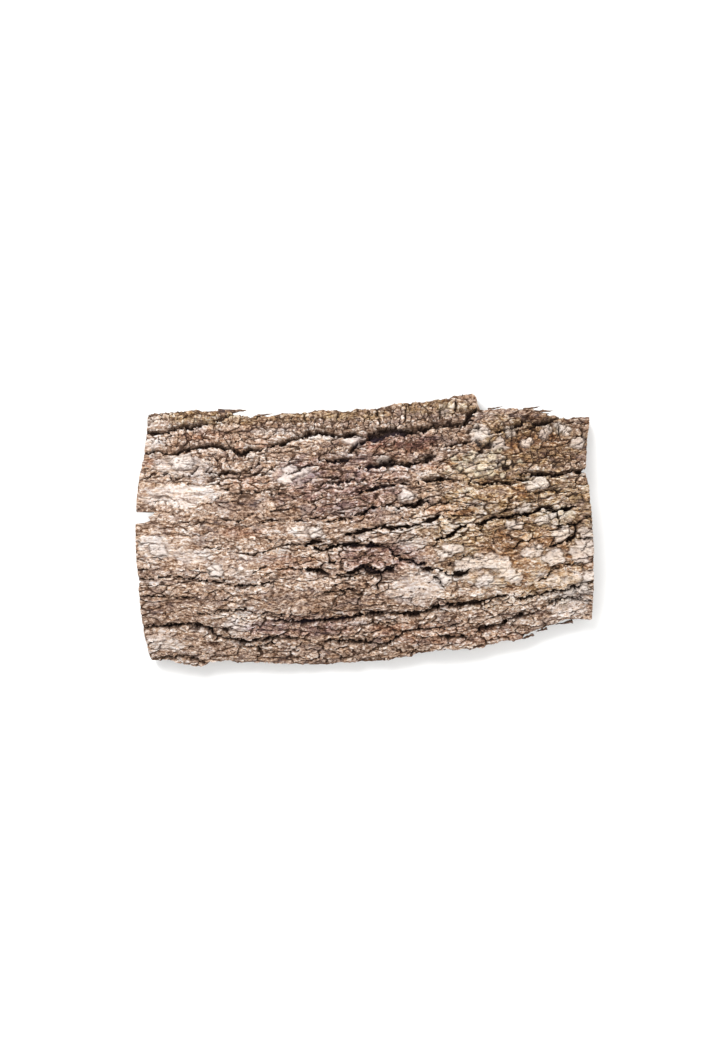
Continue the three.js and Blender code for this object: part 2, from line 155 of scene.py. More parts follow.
# The fissures: width between the walls, depth and route
FISSURES = [
    (2.6, 8, [(-146, 65.5), (-135, 65.6), (-130, 66), (-127, 67.5), (-122, 69.3), (-115, 69), (-110, 70),
        (-105, 71)]),
    (1.2, 4, [(-104, 73.5), (-97, 74.7), (-90, 76.5), (-80, 77.5)]),
    (2.2, 7, [(-147, 50.5), (-137, 53), (-128, 51), (-120, 53.5), (-110, 55.5), (-100, 57), (-92, 54.7),
        (-87, 54), (-83, 50.5), (-80, 51.5), (-77, 54), (-70, 53.5), (-65, 54.3)]),
    (2.6, 8, [(-65, 54.3), (-60, 57), (-52, 59), (-48, 61), (-42, 63), (-34, 65), (-30, 65), (-20, 64),
        (-15, 63.5), (-7, 64.5), (-1, 63)]),
    (5.2, 9, [(-1, 60), (5, 61.5), (10, 63), (15, 64.5), (20, 66), (30, 66), (35, 67), (45, 69.5),
        (50, 70.5), (60, 70.5), (65, 72), (68, 74), (73, 80), (75, 83)]),
    (3.4, 6, [(2, 64), (8, 65.5), (14, 67), (24, 68.5)]),
    (2.8, 5.5, [(0, 60.5), (-6, 57), (-9, 54), (-11, 51.5)]),
    (1.2, 4, [(-52, 36), (-48, 38), (-42, 40), (-38, 42), (-32, 44.5), (-28, 46.5)]),
    (2.4, 7, [(-28, 46.5), (-20, 46.5), (-11, 47)]),
    (0.8, 2.5, [(-50, 44), (-41, 45), (-38, 42)]),
    (2.4, 6.5, [(-6.5, 41.5), (0, 42), (8, 43.5), (14, 43.5), (20, 44), (30, 43.5), (38, 45), (45, 48.5)]),
    (4.4, 7, [(9, 44.8), (13, 45.8), (22, 46.4)]),
    (4.2, 7, [(36, 47), (41, 48), (47, 50)]),
    (1.6, 5, [(48, 46), (50, 46.5), (57, 49), (62, 52)]),
    (1.5, 5, [(47, 55), (57, 55.8), (63, 57.5), (72, 60)]),
    (1.6, 5, [(65, 65), (70, 66.5), (78, 68.5)]),
    (2, 6, [(85, 66), (93, 66.5), (97, 68), (100, 70), (107, 72.5), (115, 71.5), (120, 72.5), (128, 75)]),
    (1, 3, [(98, 66), (105, 68), (115, 70), (120, 70.5)]),
    (0.9, 3, [(125, 70.5), (135, 72), (150, 74)]),
    (1.8, 7, [(99, 37), (107, 38), (111, 37), (120, 37), (130, 37), (135, 38.5), (143, 40), (147, 40.4)]),
    (1.5, 5, [(68, 31), (80, 31), (90, 31.8), (100, 32), (108, 34), (110, 36)]),
    (3.4, 7, [(35, 30.5), (37, 32), (45, 33.5), (56, 34.5)]),
    (1.2, 5, [(56, 34.5), (58, 33), (62, 32.8), (69, 34.2), (70, 31)]),
    (1.5, 4.5, [(-30, 30.5), (-21, 32), (-15, 31.5), (-7, 33), (-5, 32), (-1, 34)]),
    (1, 3, [(-25, 36), (-15, 34.5)]),
    (1.7, 5, [(-5, 24.5), (2, 26), (10, 28.5), (20, 29.5), (28, 31), (33, 29)]),
    (0.9, 3, [(-148, 33.5), (-143, 35), (-140, 37.5), (-134, 38.5), (-130, 37), (-127, 34.5),
        (-118, 35.5), (-112, 39), (-108, 43)]),
    (0.8, 2.5, [(-128, 32.5), (-113, 31.5)]),
    (1, 3, [(-104, 31), (-98, 35.5)]),
    (1.8, 4.5, [(-107, 38.5), (-100, 38), (-96, 37.5), (-90, 39), (-83, 37)]),
    (1, 3.5, [(-83, 37), (-76, 40.5), (-72, 42), (-70, 45), (-70, 48)]),
    (1, 3, [(-80, 37), (-65, 38), (-60, 41.5), (-57, 43), (-53, 48.5)]),
    (2.6, 4, [(-96, 26.8), (-88, 27.4)]),
    (1, 3, [(-90, 24.5), (-79, 25), (-70, 25), (-65, 26.5), (-52, 28)]),
    (0.8, 2.5, [(-67, 23), (-55, 24), (-50, 25.5)]),
    (0.8, 2.5, [(-120, 4), (-105, 5), (-103, 8.5)]),
    (1, 3, [(-98, 8.5), (-88, 7), (-82, 6.5), (-75, 10), (-72, 12)]),
    (0.9, 3, [(-73, 4), (-66, 5.5), (-58, 6.5), (-50, 7)]),
    (1.1, 3.5, [(-50, 4), (-44, 7), (-35, 7.5), (-27, 8.5), (-22, 10)]),
    (1.1, 3.5, [(-30, 7), (-23, 5.5), (-14, 8), (-8, 7)]),
    (0.9, 3, [(-62, 12), (-55, 13), (-50, 14), (-45, 16)]),
    (2.1, 6.5, [(-9, 9.5), (0, 12), (5, 14.5), (15, 16), (25, 16), (33, 17), (36, 18.5), (43, 18.5)]),
    (1.3, 4, [(42, 17.5), (50, 18.2), (58, 18.3)]),
    (1.2, 4, [(60, 16.5), (70, 16), (78, 17)]),
    (2.2, 6.5, [(-15, -3.5), (-5, -1.5), (5, 0.5), (10, 2), (17, 1.5), (29, 2), (36, 4.5), (40, 5.5),
        (44, 7), (50, 8.5), (56, 8)]),
    (2.4, 8, [(73, 4), (76, 3.5), (80, 6.5), (85, 8), (95, 8.5), (100, 10), (110, 11.5), (115, 13.5),
        (120, 15), (127, 13), (135, 14.5), (139, 16)]),
    (1.2, 3.5, [(87, 12), (97, 14.5), (102, 15.5)]),
    (1.8, 3, [(106, 17.8), (113, 19.2)]),
    (0.9, 3, [(108, 23), (118, 25.5), (132, 27)]),
    (2, 6, [(113, -13), (117, -13), (120, -11.5), (130, -9.5), (136, -6), (138, -4), (138.5, 0),
        (138, 3.5)]),
    (1.2, 4, [(138, -4.5), (144, -6), (151, -5)]),
    (1.2, 4, [(127, 12), (128, 5), (127, 3), (138, 3.5), (145, 8), (151, 10)]),
    (2, 6, [(44, -11), (47, -7), (52, -5), (57, -3), (60, 1), (70, 4)]),
    (0.9, 3, [(58, -6), (68, -2.5)]),
    (1, 3, [(50, -14.5), (57, -17.5), (67, -17.5), (75, -18.5), (78, -17.5)]),
    (1.1, 3.5, [(90, -13), (95, -13.5), (100, -10.5), (101, -8), (113, -6.5)]),
    (2.4, 7, [(-40, -10.5), (-32, -8), (-27, -7.5)]),
    (3.0, 8, [(-34, -11.5), (-27, -14), (-22, -12), (-18, -10.5), (-8, -10), (0, -10), (8, -10.8),
        (15, -11.5)]),
    (3, 6, [(-24, -10.5), (-14, -9.6), (-6, -9)]),
    (1.3, 4.5, [(-24, -14.5), (-23.5, -22), (-14, -22)]),
    (2.4, 7.5, [(16, -12), (17, -14), (20, -18), (26, -19.5), (33, -22), (40, -22)]),
    (1, 3, [(18, -10), (25, -7), (35, -5.5)]),
    (1, 3, [(-7, -3), (-7, -8)]),
    (2.8, 8, [(20, -24), (13, -27), (10, -29), (2, -27), (0, -24), (-7, -28), (-12, -29)]),
    (3.4, 6, [(12, -25.5), (19, -27.5)]),
    (2, 6, [(10, -29), (10, -33), (8.4, -36), (8, -41)]),
    (3.4, 8, [(-41, -26.4), (-32, -27), (-24, -29)]),
    (1.5, 4.5, [(-20, -30), (-15, -31), (-1, -30)]),
    (2, 6, [(36, -24), (40, -26), (50, -27), (53, -29.5), (58, -30), (65, -28), (69, -26)]),
    (2.6, 6, [(58, -30.5), (63, -30), (67, -28.4)]),
    (1.8, 5.5, [(45, -30), (48, -33), (52, -38.5)]),
    (2.4, 5, [(54, -22), (57, -22.6)]),
    (1.8, 5.5, [(-28, -42.5), (-22, -42), (-13, -40.5), (-6, -40.5)]),
    (1, 3.5, [(-13, -41), (-13, -44)]),
    (2.4, 7, [(-148, -63.5), (-145, -65.5), (-130, -64.5), (-120, -63), (-110, -64), (-102, -67),
        (-100, -71), (-90, -73), (-82, -75), (-73, -74.5), (-62, -73.5), (-50, -73.5), (-44, -72.5)]),
    (1.2, 4, [(-86, -75.5), (-77, -78), (-66, -77), (-55, -77.5)]),
    (1, 3.5, [(-70.5, -78), (-72, -89)]),
    (3.4, 4, [(-97, -66.8), (-89, -67.6)]),
    (1, 3.5, [(-113, -55.5), (-101, -56)]),
    (1.4, 4.5, [(-100, -54.5), (-90, -53.5), (-80, -53), (-70, -56), (-60, -56.5), (-50, -56.5)]),
    (2.6, 8, [(-60, -60), (-50, -61), (-40, -62), (-30, -61), (-20, -60.5), (-10, -59), (-3, -57),
        (5, -56), (20, -55.7), (26, -57), (40, -55.5), (43, -54), (46, -52), (53, -50.5), (63, -50.5),
        (72, -49.5), (80, -48), (84, -46.5), (92, -45), (95, -44)]),
    (1.6, 6.5, [(98, -45.5), (106, -46), (112, -45), (119, -43.5), (122, -42), (130, -40.5), (138, -38),
        (146, -35.5), (152, -34.5)]),
    (1.4, 5, [(113, -35), (120, -31.5), (124, -27), (131, -24), (139, -22.5), (143, -21.5)]),
    (1, 3, [(120, -26), (130, -22)]),
    (2, 6.5, [(-27, -76), (-23, -75), (-14, -75.5), (-9, -75), (0, -76), (6, -77), (14, -77), (19, -74),
        (24, -70), (27, -68), (35, -66.5), (50, -66.5), (53, -67)]),
    (3, 5, [(56, -64.4), (62, -62.8)]),
    (2.4, 7, [(50, -72), (58, -72.5), (66, -72.5), (72, -75)]),
    (2.4, 7, [(72, -73), (76, -67.5), (84, -66), (90, -65), (93, -62), (100, -59), (113, -56.5)]),
    (1.6, 4.5, [(118, -53), (125, -49), (134, -46.5), (151, -47.5)]),
    (1.2, 4, [(-17, -86.5), (-10, -86.5), (-4, -88), (15, -88.3)]),
    (1.8, 5, [(-145, -87.4), (-142, -86.8), (-130, -86), (-118, -86.5), (-107, -89.5)]),
    (1, 3.5, [(-5, -60), (-3, -63.5), (7, -63.5), (20, -60.5)]),
    (1.3, 4.5, [(-150, -32.5), (-139, -32.5), (-127, -30.5), (-118, -32.5), (-106, -33.5), (-95, -35),
        (-85, -37), (-77, -37.5), (-66, -36.5), (-58, -34)]),
    (0.8, 2.5, [(-141, -18.5), (-130, -19.5)]),
    (0.8, 2.5, [(-150, -27), (-132, -26)]),
    (1.1, 3.5, [(-150, -44.5), (-133, -44), (-112, -45.5)]),
    (0.9, 3, [(-88, -14), (-73, -16.5), (-63, -13), (-52, -10), (-40, -10.5)]),
    (0.8, 2.5, [(-65, -4), (-60, -9)]),
    (0.8, 2.5, [(-108, -11), (-92, -12)]),
    (1.1, 3.5, [(-62, -26), (-40, -26)]),
    (0.9, 3, [(-74, -29.5), (-70, -26), (-63, -23)]),
    (1.8, 3, [(-118, -78.8), (-114, -79.2)]),
    (3.6, 4.2, [(73.2, 61), (76.4, 55.4)]),
    (3.2, 4.2, [(75.4, 54.4), (79, 56.2), (84, 59.2)]),
    (2.4, 4, [(76.4, 57), (76.4, 51.2)]),
    (1, 4, [(-28, 79), (-28.6, 69)]),
    (1.1, 4, [(-18, 80), (-18.4, 72)]),
    (1.3, 5, [(7, 82), (8.4, 76), (10, 70)]),
    (1, 4, [(27, 84), (27.4, 73)]),
    (1, 4, [(60, 89), (60.6, 78)]),
    (1, 3.5, [(129, 72), (129.4, 61)]),
    (1, 3.5, [(144, 72), (144.4, 60)]),
]

# Areas, each an ellipse: middle, length along the grain, width across it
SMOOTH_AREAS = [
    (-126, 25, 50, 12), (-122, 42, 34, 11), (-126, -11, 50, 17), (-98, 26, 34, 7), (-48, 36, 30, 11),
    (34, -38, 32, 16), (78, -31, 34, 9), (-10, 60, 14, 7), (30, -8, 26, 6),
]
WHITE_AREAS = [
    (-141, 72, 9, 9), (-121, 43, 38, 16), (-120, 23, 56, 14), (-47, 36, 34, 12), (-8, 59, 16, 8),
    (54, 81, 11, 11), (78, 63, 14, 12), (132, 68, 13, 10), (112, 31, 16, 10), (124, 9, 28, 14),
    (28, 23, 12, 6), (-136, -12, 24, 18), (-115, -17, 26, 10), (-98, -27, 12, 11), (-38, -1, 22, 7),
    (33, -38, 38, 22), (80, -29, 46, 20), (119, -17, 34, 10), (142, -14, 17, 12), (141, -41, 20, 9),
    (134, -54, 26, 8), (126, -31, 44, 14), (136, -47, 30, 8), (-133, -76, 24, 12), (-84, -64, 18, 12),
    (30, -8, 26, 6), (-60, 66, 30, 5), (-82, -28, 20, 8), (77, 45, 36, 17), (-140, 58, 10, 6),
]
CALM_AREAS = [
    (-128, 8, 60, 104), (-75, -5, 90, 56), (85, -25, 120, 36), (-120, -60, 50, 50), (-50, -45, 60, 22),
]
LIGHT_AREAS = [
    (-128, 36, 70, 84), (-126, -12, 60, 34), (85, -28, 130, 46), (64, 10, 100, 36), (134, -38, 60, 50),
    (-62, -24, 70, 44),
]
DARK_AREAS = [(10, 52, 80, 24), (92, 62, 140, 56), (5, -62, 130, 56), (116, 14, 60, 30)]
BLOCK_AREAS = [
    (-110, 74, 80, 12), (-110, 61, 80, 12), (-40, 71, 90, 14), (30, 77, 90, 18), (-88, 46, 38, 13),
    (112, 66, 60, 16), (124, 48, 48, 14), (-20, 55, 34, 8), (30, 57, 60, 10), (55, 63, 30, 10),
]
OLIVE_AREAS = [
    (100, 5, 120, 110), (112, 62, 80, 34), (95, 18, 80, 26), (76, -11, 56, 16), (74, 42, 40, 24),
    (-100, 76, 90, 12), (110, -28, 80, 34), (-35, 77, 110, 9), (45, 83, 60, 12),
]
RUST_AREAS = [
    (118, 60, 40, 10), (24, 55, 44, 12), (112, -22, 90, 40), (45, 44, 30, 8), (60, 14, 40, 8),
    (-105, 62, 30, 8), (90, -4, 16, 9), (103, 26, 12, 9), (60, -71, 120, 13), (-84, 55, 10, 6),
    (-68, 58, 9, 5), (-142, 45, 9, 7), (-76, 31, 26, 8), (30, -66, 60, 8), (100, 55, 20, 8),
    (-50, -22, 40, 12), (-80, -2, 30, 8),
]
PLUM_AREAS = [(-15, 30, 90, 44), (10, -18, 60, 20), (20, 60, 60, 14), (-40, -65, 90, 14)]

# Pale angular plates of whole chips: middle, length, width and turn in degrees
CHIP_SIZE = (3.2, 2.5)
PALE_PLATES = [
    (124, -18.6, 12, 10, 35), (139.5, -12.5, 11, 9, 30), (147, -10, 8, 12, -15), (142.5, -18.5, 9, 6, 10),
    (143.7, -1.5, 8, 8, 0), (111, -13.2, 14, 7, 18), (130, -2, 11, 8, 28), (67, -23.5, 16, 9, 24),
    (84, -21, 21, 9, -8), (51.5, -15.5, 8, 8, 35), (51.5, -32, 8, 8, -35), (113, 30.5, 13, 8, 22),
    (27.5, 22.5, 9, 6, 10), (76, 65.5, 12, 8, 12), (-121, 45, 15, 9, 6), (-45, 39, 14, 6, 12),
    (-52, 33.5, 9, 6, -8), (-8, 59.5, 11, 6, 8), (131, 67.5, 9, 7, 0), (-98, -27, 8, 7, 10),
    (138, -40, 16, 6, 20), (147, -31, 8, 6, 10), (97, 66, 8, 7, 15), (140, 58, 9, 9, 0),
    (-32, -1, 12, 7, 6), (98, 3, 12, 5, 14), (13, 47, 9, 6, 20), (96, -30, 16, 8, -30),
    (78, -33, 12, 6, 35), (60, -12, 9, 6, 10), (119, 8, 14, 6, 20), (104, 14, 9, 5, 15),
    (119.5, 65.5, 8, 8, 10), (106.5, 59, 9, 6, 10), (89, 57.5, 8, 8, 0), (-136, -13, 10, 6, 5),
]

# The loose flakes, and the fields of the rough side that they take on
FLAKES = 3200
FLAKE_CORNERS = 7
# high carries the painted light and shade of the place under each flake
FLAKE_FIELDS = ("flake", "layer", "high", "white", "light", "olive", "rust", "plum", "block")

# Slivers at the long edges: base, tip, width, thickness, and how far below the arch's top they are
SPLINTERS = [
    ((-98, 78.6), (-79.2, 80.2), 4, 3.4, 3), ((-72, 76), (-61.4, 77.7), 1.7, 1.6, 3),
    ((82, 80.6), (92.4, 82.4), 1.6, 1.5, 3), ((106, 80.6), (117.8, 82.7), 2.2, 2, 3),
    ((108, 79), (125.8, 80), 2.8, 2.2, 4), ((116, 77.8), (124, 78.3), 2, 2, 6),
    ((139, -61), (127.6, -63.4), 2.4, 2.4, 5), ((122, -66), (114.2, -68.2), 1.8, 1.8, 5),
    ((113, -70), (105, -73), 2.4, 2.2, 4),
]
SPLINTER_SECTIONS = 9
SPLINTER_CORNERS = 7

# The knot's middle, the pits with their radius and depth, and the lichens with their radius
KNOT = (92.5, 42.4)
PITS = [
    (82.3, 64.2, 1.3, 3), (84.5, 55.6, 0.9, 1.5), (3, 65, 1.8, 3), (36, -39, 0.8, 1.5),
    (39, -39.2, 0.8, 1.5), (30.5, -41.5, 0.9, 1.5), (42, -35, 0.9, 1.5), (55, -33, 1, 2),
]
LICHENS = [
    (71, 49.4, 3.3), (83.5, 48.6, 2.9), (83, 38.5, 3.1), (76, 41.5, 2.6), (54, 41, 2.4), (62, 41, 2.6),
    (65.5, 45, 2.2), (88.5, 53, 1.9), (73, 37.5, 1.9), (58.5, 47, 2), (90, 36, 1.7), (102, 45, 1.8),
]

# The rough side's colours, from the darkest tone to the lightest
BARK_COLOURS = [
    (0.0, "301c14"), (0.15, "513829"), (0.3, "755946"), (0.44, "947a68"), (0.58, "b29784"), (0.72, "c9b19e"),
    (0.86, "d9ccc3"), (1.0, "e6ddd7"),
]
TINTS = [("olive", "8a8226", 0.65), ("rust", "a8652e", 0.38), ("plum", "5a4670", 0.65)]

# From the outer side of a broken edge to its inner side, and the inner side from dark fibres to light ones
EDGE_COLOURS = [(0.0, "6d5c50"), (0.2, "6f5443"), (0.5, "7d5c46"), (0.8, "8d6b50"), (1.0, "b29470")]
INNER_COLOURS = [(0.24, "33251d"), (0.4, "5f4839"), (0.52, "826753"), (0.64, "a0836a"), (0.82, "c2a78b")]


def linear(text):
    """A colour like "b9a48c" as the linear numbers that a shader takes"""
    parts = [int(text[k:k + 2], 16) / 255 for k in (0, 2, 4)]
    return [p / 12.92 if p <= 0.04045 else ((p + 0.055) / 1.055) ** 2.4 for p in parts] + [1.0]


def smoothstep(low, high, value):
    t = np.clip((value - low) / (high - low), 0, 1)
    return t * t * (3 - 2 * t)


def bell(value, middle, width):
    """1 at the middle, falling to 0 over a few widths"""
    return np.exp(-((value - middle) / width) ** 2)


def cell_random(i, j, salt):
    """A fixed number from 0 to 1 for each whole i, j"""
    mixed = (i.astype(np.int64) * 374761393 + j.astype(np.int64) * 668265263 + salt * 974634777) & 0xFFFFFFFF
    mixed = ((mixed ^ (mixed >> 13)) * 1274126177) & 0xFFFFFFFF
    mixed = ((mixed ^ (mixed >> 15)) * 2246822519) & 0xFFFFFFFF
    return ((mixed ^ (mixed >> 16)) & 0xFFFFFF) / 0x1000000


def noise(x, y, salt):
    """Smooth random values from -1 to 1 that change over one unit"""
    i, j = np.floor(x), np.floor(y)
    u, v = smoothstep(0, 1, x - i), smoothstep(0, 1, y - j)
    low = cell_random(i, j, salt) * (1 - u) + cell_random(i + 1, j, salt) * u
    high = cell_random(i, j + 1, salt) * (1 - u) + cell_random(i + 1, j + 1, salt) * u
    return (low * (1 - v) + high * v) * 2 - 1


def line_noise(place, salt, row=0):
    """Noise along a line. Each row of a salt is another line."""
    return noise(place, place * 0 + row, salt)


def waves(x, y, parts):
    """The sum of noises, each given by its height, its length, its width and its salt"""
    return sum(height * noise(x / length, y / width, salt) for height, length, width, salt in parts)


def layered_noise(x, y, salt, layers):
    total = sum(noise(x * 2 ** k, y * 2 ** k, salt + k) / 2 ** k for k in range(layers))
    return total / sum(1 / 2 ** k for k in range(layers))


class Cells:
    """Irregular cells of a size: whole numbers i and j, the place x, y in each, and the way to its edge"""

    def __init__(self, x, y, size, salt):
        x, y = x / size[0], y / size[1]
        i0, j0 = np.floor(x), np.floor(y)
        first = np.full(x.shape, np.inf)
        second = np.full(x.shape, np.inf)
        found = np.zeros((4, *x.shape))
        for di in (-1, 0, 1):
            for dj in (-1, 0, 1):
                i, j = i0 + di, j0 + dj
                dx = x - i - cell_random(i, j, salt)
                dy = y - j - cell_random(i, j, salt + 1)
                far = np.hypot(dx, dy)
                nearer = far < first
                second = np.where(nearer, first, np.minimum(second, far))
                first = np.where(nearer, far, first)
                found = np.where(nearer, [i, j, dx, dy], found)
        self.i, self.j, self.x, self.y = found
        self.edge = second - first

    def random(self, salt):
        """A fixed number from 0 to 1 for each cell"""
        return cell_random(self.i, self.j, salt)

    def gap(self, low, high):
        """1 at the cells' edges and 0 within"""
        return 1 - smoothstep(low, high, self.edge)


def blur(field, sigma):
    """field smoothed over sigma grid steps, with its borders repeated outwards"""
    pad = int(3 * sigma) + 1
    wide = np.pad(field, pad, mode="edge")
    fy = np.fft.fftfreq(wide.shape[0])[:, None]
    fx = np.fft.rfftfreq(wide.shape[1])[None, :]
    kernel = np.exp(-2 * (math.pi * sigma) ** 2 * (fx ** 2 + fy ** 2))
    smooth = np.fft.irfft2(np.fft.rfft2(wide) * kernel, s=wide.shape)
    return smooth[pad:-pad, pad:-pad]


def arch_place(x, y):
    """The crest's height at x, and how far across the arch a place is: -1 at the front edge, 1 at the back"""
    narrowed = smoothstep(NARROWING_FROM, HALF_LENGTH, x)
    half = HALF_WIDTH - RIGHT_END_NARROWING * narrowed
    crest = CREST_HEIGHT - CREST_DROP * narrowed
    return crest, np.clip((y - GRAIN_DRIFT * x) / half, -FARTHEST_ACROSS, FARTHEST_ACROSS)


def arch_fall(across):
    """How far the arch has come down: 0 at its crest and 1 at its long sides"""
    return (1 - np.sqrt(1 - (ARCH_SINE * across) ** 2)) / (1 - math.sqrt(1 - ARCH_SINE ** 2))


def envelope_height(x, y):
    crest, across = arch_place(x, y)
    return crest - (crest - EDGE_HEIGHT) * arch_fall(across)


def envelope_slope(x, y, step):
    return (envelope_height(x, y + step) - envelope_height(x, y - step)) / (2 * step)


def inner_height(x, y):
    """The height of the inner side, which dips to the floor at the feet"""
    crest, across = arch_place(x, y)
    dip = np.zeros(x.shape)
    for foot_x, side, reach in FEET:
        here = FOOT_DIP * (1 - smoothstep(0, reach, np.abs(x - foot_x)))
        dip = np.maximum(dip, np.where(side * across > 0, here, 0))
    top = crest - THICKNESS
    inner = top - (top - EDGE_CLEARANCE + dip) * arch_fall(np.clip(across, -1, 1))
    wavy = waves(x, y, INNER_WAVES) * (1 - smoothstep(0.9, 1, np.abs(across)))
    return np.maximum(inner + wavy, 0)


def area_mask(areas, x, y, salt):
    """1 inside the ellipses and 0 outside, with frayed borders"""
    fray = 0.35 * layered_noise(x / 11, y / 6, salt, 3)
    mask = np.zeros(x.shape)
    for mid_x, mid_y, length, width in areas:
        out = np.hypot((x - mid_x) / (length / 2), (y - mid_y) / (width / 2))
        mask = np.maximum(mask, 1 - smoothstep(0.7, 1.2, out + fray))
    return mask


def route_distance(route, x, y):
    """How far each place is from a route, how far along it, how near its ends, and on which side"""
    best = np.full(x.shape, np.inf)
    along = np.zeros(x.shape)
    above = np.zeros(x.shape)
    passed = 0.0
    for (ax, ay), (bx, by) in zip(route, route[1:]):
        length = math.hypot(bx - ax, by - ay)
        share = np.clip(((x - ax) * (bx - ax) + (y - ay) * (by - ay)) / length ** 2, 0, 1)
        far = np.hypot(x - ax - share * (bx - ax), y - ay - share * (by - ay))
        nearer = far < best
        best = np.where(nearer, far, best)
        along = np.where(nearer, passed + share * length, along)
        above = np.where(nearer, (bx - ax) * (y - ay) - (by - ay) * (x - ax), above)
        passed += length
    return best, along, np.minimum(along, passed - along), above


def pale_plates(x, y):
    """How much each place is on a pale plate, which is made of whole chips, and in the gap round one"""
    chips = Cells(x, y, CHIP_SIZE, 66)
    chip_x = x - CHIP_SIZE[0] * chips.x
    chip_y = y - CHIP_SIZE[1] * chips.y
    plate = np.zeros(x.shape)
    for mid_x, mid_y, length, width, turn in PALE_PLATES:
        cos, sin = math.cos(math.radians(turn)), math.sin(math.radians(turn))
        u = np.abs((chip_x - mid_x) * cos + (chip_y - mid_y) * sin)
        v = np.abs((chip_y - mid_y) * cos - (chip_x - mid_x) * sin)
        plate = np.maximum(plate, np.maximum(u - length / 2, v - width / 2) < 0)
    soft = blur(plate, 0.7)
    # The gap round a plate is sunk and darkened: painted shade under the raised plate
    gap = np.clip(3.2 * blur(plate, 1.8), 0, 1) * (1 - soft)
    return soft, np.maximum(gap, 0.5 * chips.gap(0.02, 0.08) * soft)


def fissures(x, y):
    """Depth of the fissures, how much each place is inside one, how near one is, and the lips along them"""
    steps = Cells(x, y, STEP_SIZE, 40)
    chips = Cells(x, y, LITTER_SIZE, 74)
    bent_x = x + waves(x, y, [(0.8, 5, 4, 41), (0.4, 1.5, 1.5, 42)])
    bent_y = y + waves(x, y, [(0.5, 4, 5, 43), (0.35, 1.2, 1.2, 44)])
    bent_y += 1.1 * (steps.random(45) - 0.5) + 1.4 * (chips.random(75) - 0.5)
    litter = 0.6 * smoothstep(0.62, 0.72, chips.random(77)) * smoothstep(0, 0.15, chips.edge)
    litter *= smoothstep(-0.3, 0.2, noise(x / 9, y / 9, 78))
    depth, inside, near, lip = np.zeros((4, *x.shape))
    for number, (width, deep, route) in enumerate(FISSURES):
        xs, ys = zip(*route)
        here = (x > min(xs) - FISSURE_REACH) & (x < max(xs) + FISSURE_REACH)
        here &= (y > min(ys) - FISSURE_REACH) & (y < max(ys) + FISSURE_REACH)
        far, along, to_end, above = route_distance(route, bent_x[here], bent_y[here])
        total = sum(math.dist(a, b) for a, b in zip(route, route[1:]))
        taper = np.clip(to_end / min(TAPER_LENGTH, 0.3 * total), 0, 1)
        uneven = 0.76 + 0.7 * line_noise(along / 5, 46, number) + 0.3 * line_noise(along / 1.7, 65, number)
        half = width / 2 * np.clip(uneven, 0.3, 2.2) * (0.3 + 0.7 * taper)
        core = (1 - smoothstep(half * 0.75, half + 0.3, far)) * (1 - litter[here])
        slope = np.where(above > 0, SHADED_WALL, SUNNY_WALL) * (0.4 + 0.6 * width / 2.5)
        wall = np.exp(-((np.maximum(far - half * 0.6, 0)) / slope) ** 1.5) * (0.3 + 0.7 * taper)
        down = np.minimum(core * deep * (0.36 + 0.44 * taper), DEEPEST) + 0.2 * deep * wall
        # The lip is raised a little and painted lighter: a painted highlight, stronger on the sunny side
        raised = bell(far, half + 1.5, 0.8) * taper * np.where(above > 0, 0.4, 1.0)
        depth[here] = np.maximum(depth[here], down)
        inside[here] = np.maximum(inside[here], core * np.clip(deep / 6.5, 0, 1))
        # near carries the painted shade of the walls, which reaches further on the shaded side
        near[here] = np.maximum(near[here], wall * np.clip(deep / 7, 0, 1))
        lip[here] = np.maximum(lip[here], raised * np.clip(deep / 6, 0, 1))
    return depth, inside, near, lip * (1 - np.clip(near * 1.3, 0, 1))


def terraces(value, steps, slope):
    """value from 0 to 1 cut into level steps, with a slope of that share of a step between them"""
    scaled = value * steps
    level = np.floor(scaled)
    return (level + smoothstep(1 - slope, 1, scaled - level)) / steps


def splits(along, across):
    """Hair splits along the grain, from 0 to 1"""
    wide = 1 - smoothstep(0.02, 0.1, np.abs(noise(along / 13, across / 2.3, 52)))
    wide *= smoothstep(-0.3, 0.3, noise(along / 22, across / 8, 53))
    thin = 1 - smoothstep(0.02, 0.12, np.abs(noise(along / 9, across / 1.4, 47)))
    thin *= smoothstep(0, 0.4, noise(along / 14, across / 5, 48))
    return np.maximum(wide, 0.7 * thin)


def pits(x, y):
    """How deep the pits are, and how much each place is in one"""
    depth, inside = np.zeros((2, *x.shape))
    for pit_x, pit_y, radius, deep in PITS:
        off_x = x - pit_x + 0.8 * noise(x / 1.3, y / 1.3, 60)
        off_y = y - pit_y + 0.6 * noise(x / 1.3, y / 1.3, 61)
        hollow = 1 - smoothstep(0.4 * radius, 1.3 * radius, np.hypot(off_x, off_y))
        depth += deep * hollow
        inside = np.maximum(inside, 0.8 * hollow)
    return depth, inside


def knot(x, y):
    """What the knot adds to the height, its hole, and the dark collar over it"""
    out = np.hypot(x - KNOT[0], (y - KNOT[1]) * 1.2) + waves(x, y, [(1.1, 2.2, 1.9, 62), (0.5, 1, 1, 63)])
    hole = 1 - smoothstep(1.3, 2.6, out)
    # The collar lies on the north side only, where the sunken wall faces away from the key light: painted
    # shade
    collar = bell(out, 5.3, 0.7) * smoothstep(-5, 1, y - KNOT[1])
    sunken = 1 - smoothstep(4.4, 5.4, out)
    return 0.6 * bell(out, 6.8, 1) - 1.2 * sunken - 4 * hole - 1.5 * collar, hole, collar


def lichens(x, y):
    """Round lichens, and the dark rings round them"""
    lichen, ring = np.zeros((2, *x.shape))
    for disc_x, disc_y, radius in LICHENS:
        out = np.hypot(x - disc_x, y - disc_y) / radius + 0.14 * noise(x / 1.1, y / 1.1, 64)
        disc = (1 - smoothstep(0.8, 0.95, out)) * (0.65 + 0.35 * smoothstep(0.3, 0.55, out))
        lichen = np.maximum(lichen, disc)
        ring = np.maximum(ring, 0.8 * bell(out, 1.25, 0.25))
    return lichen, ring


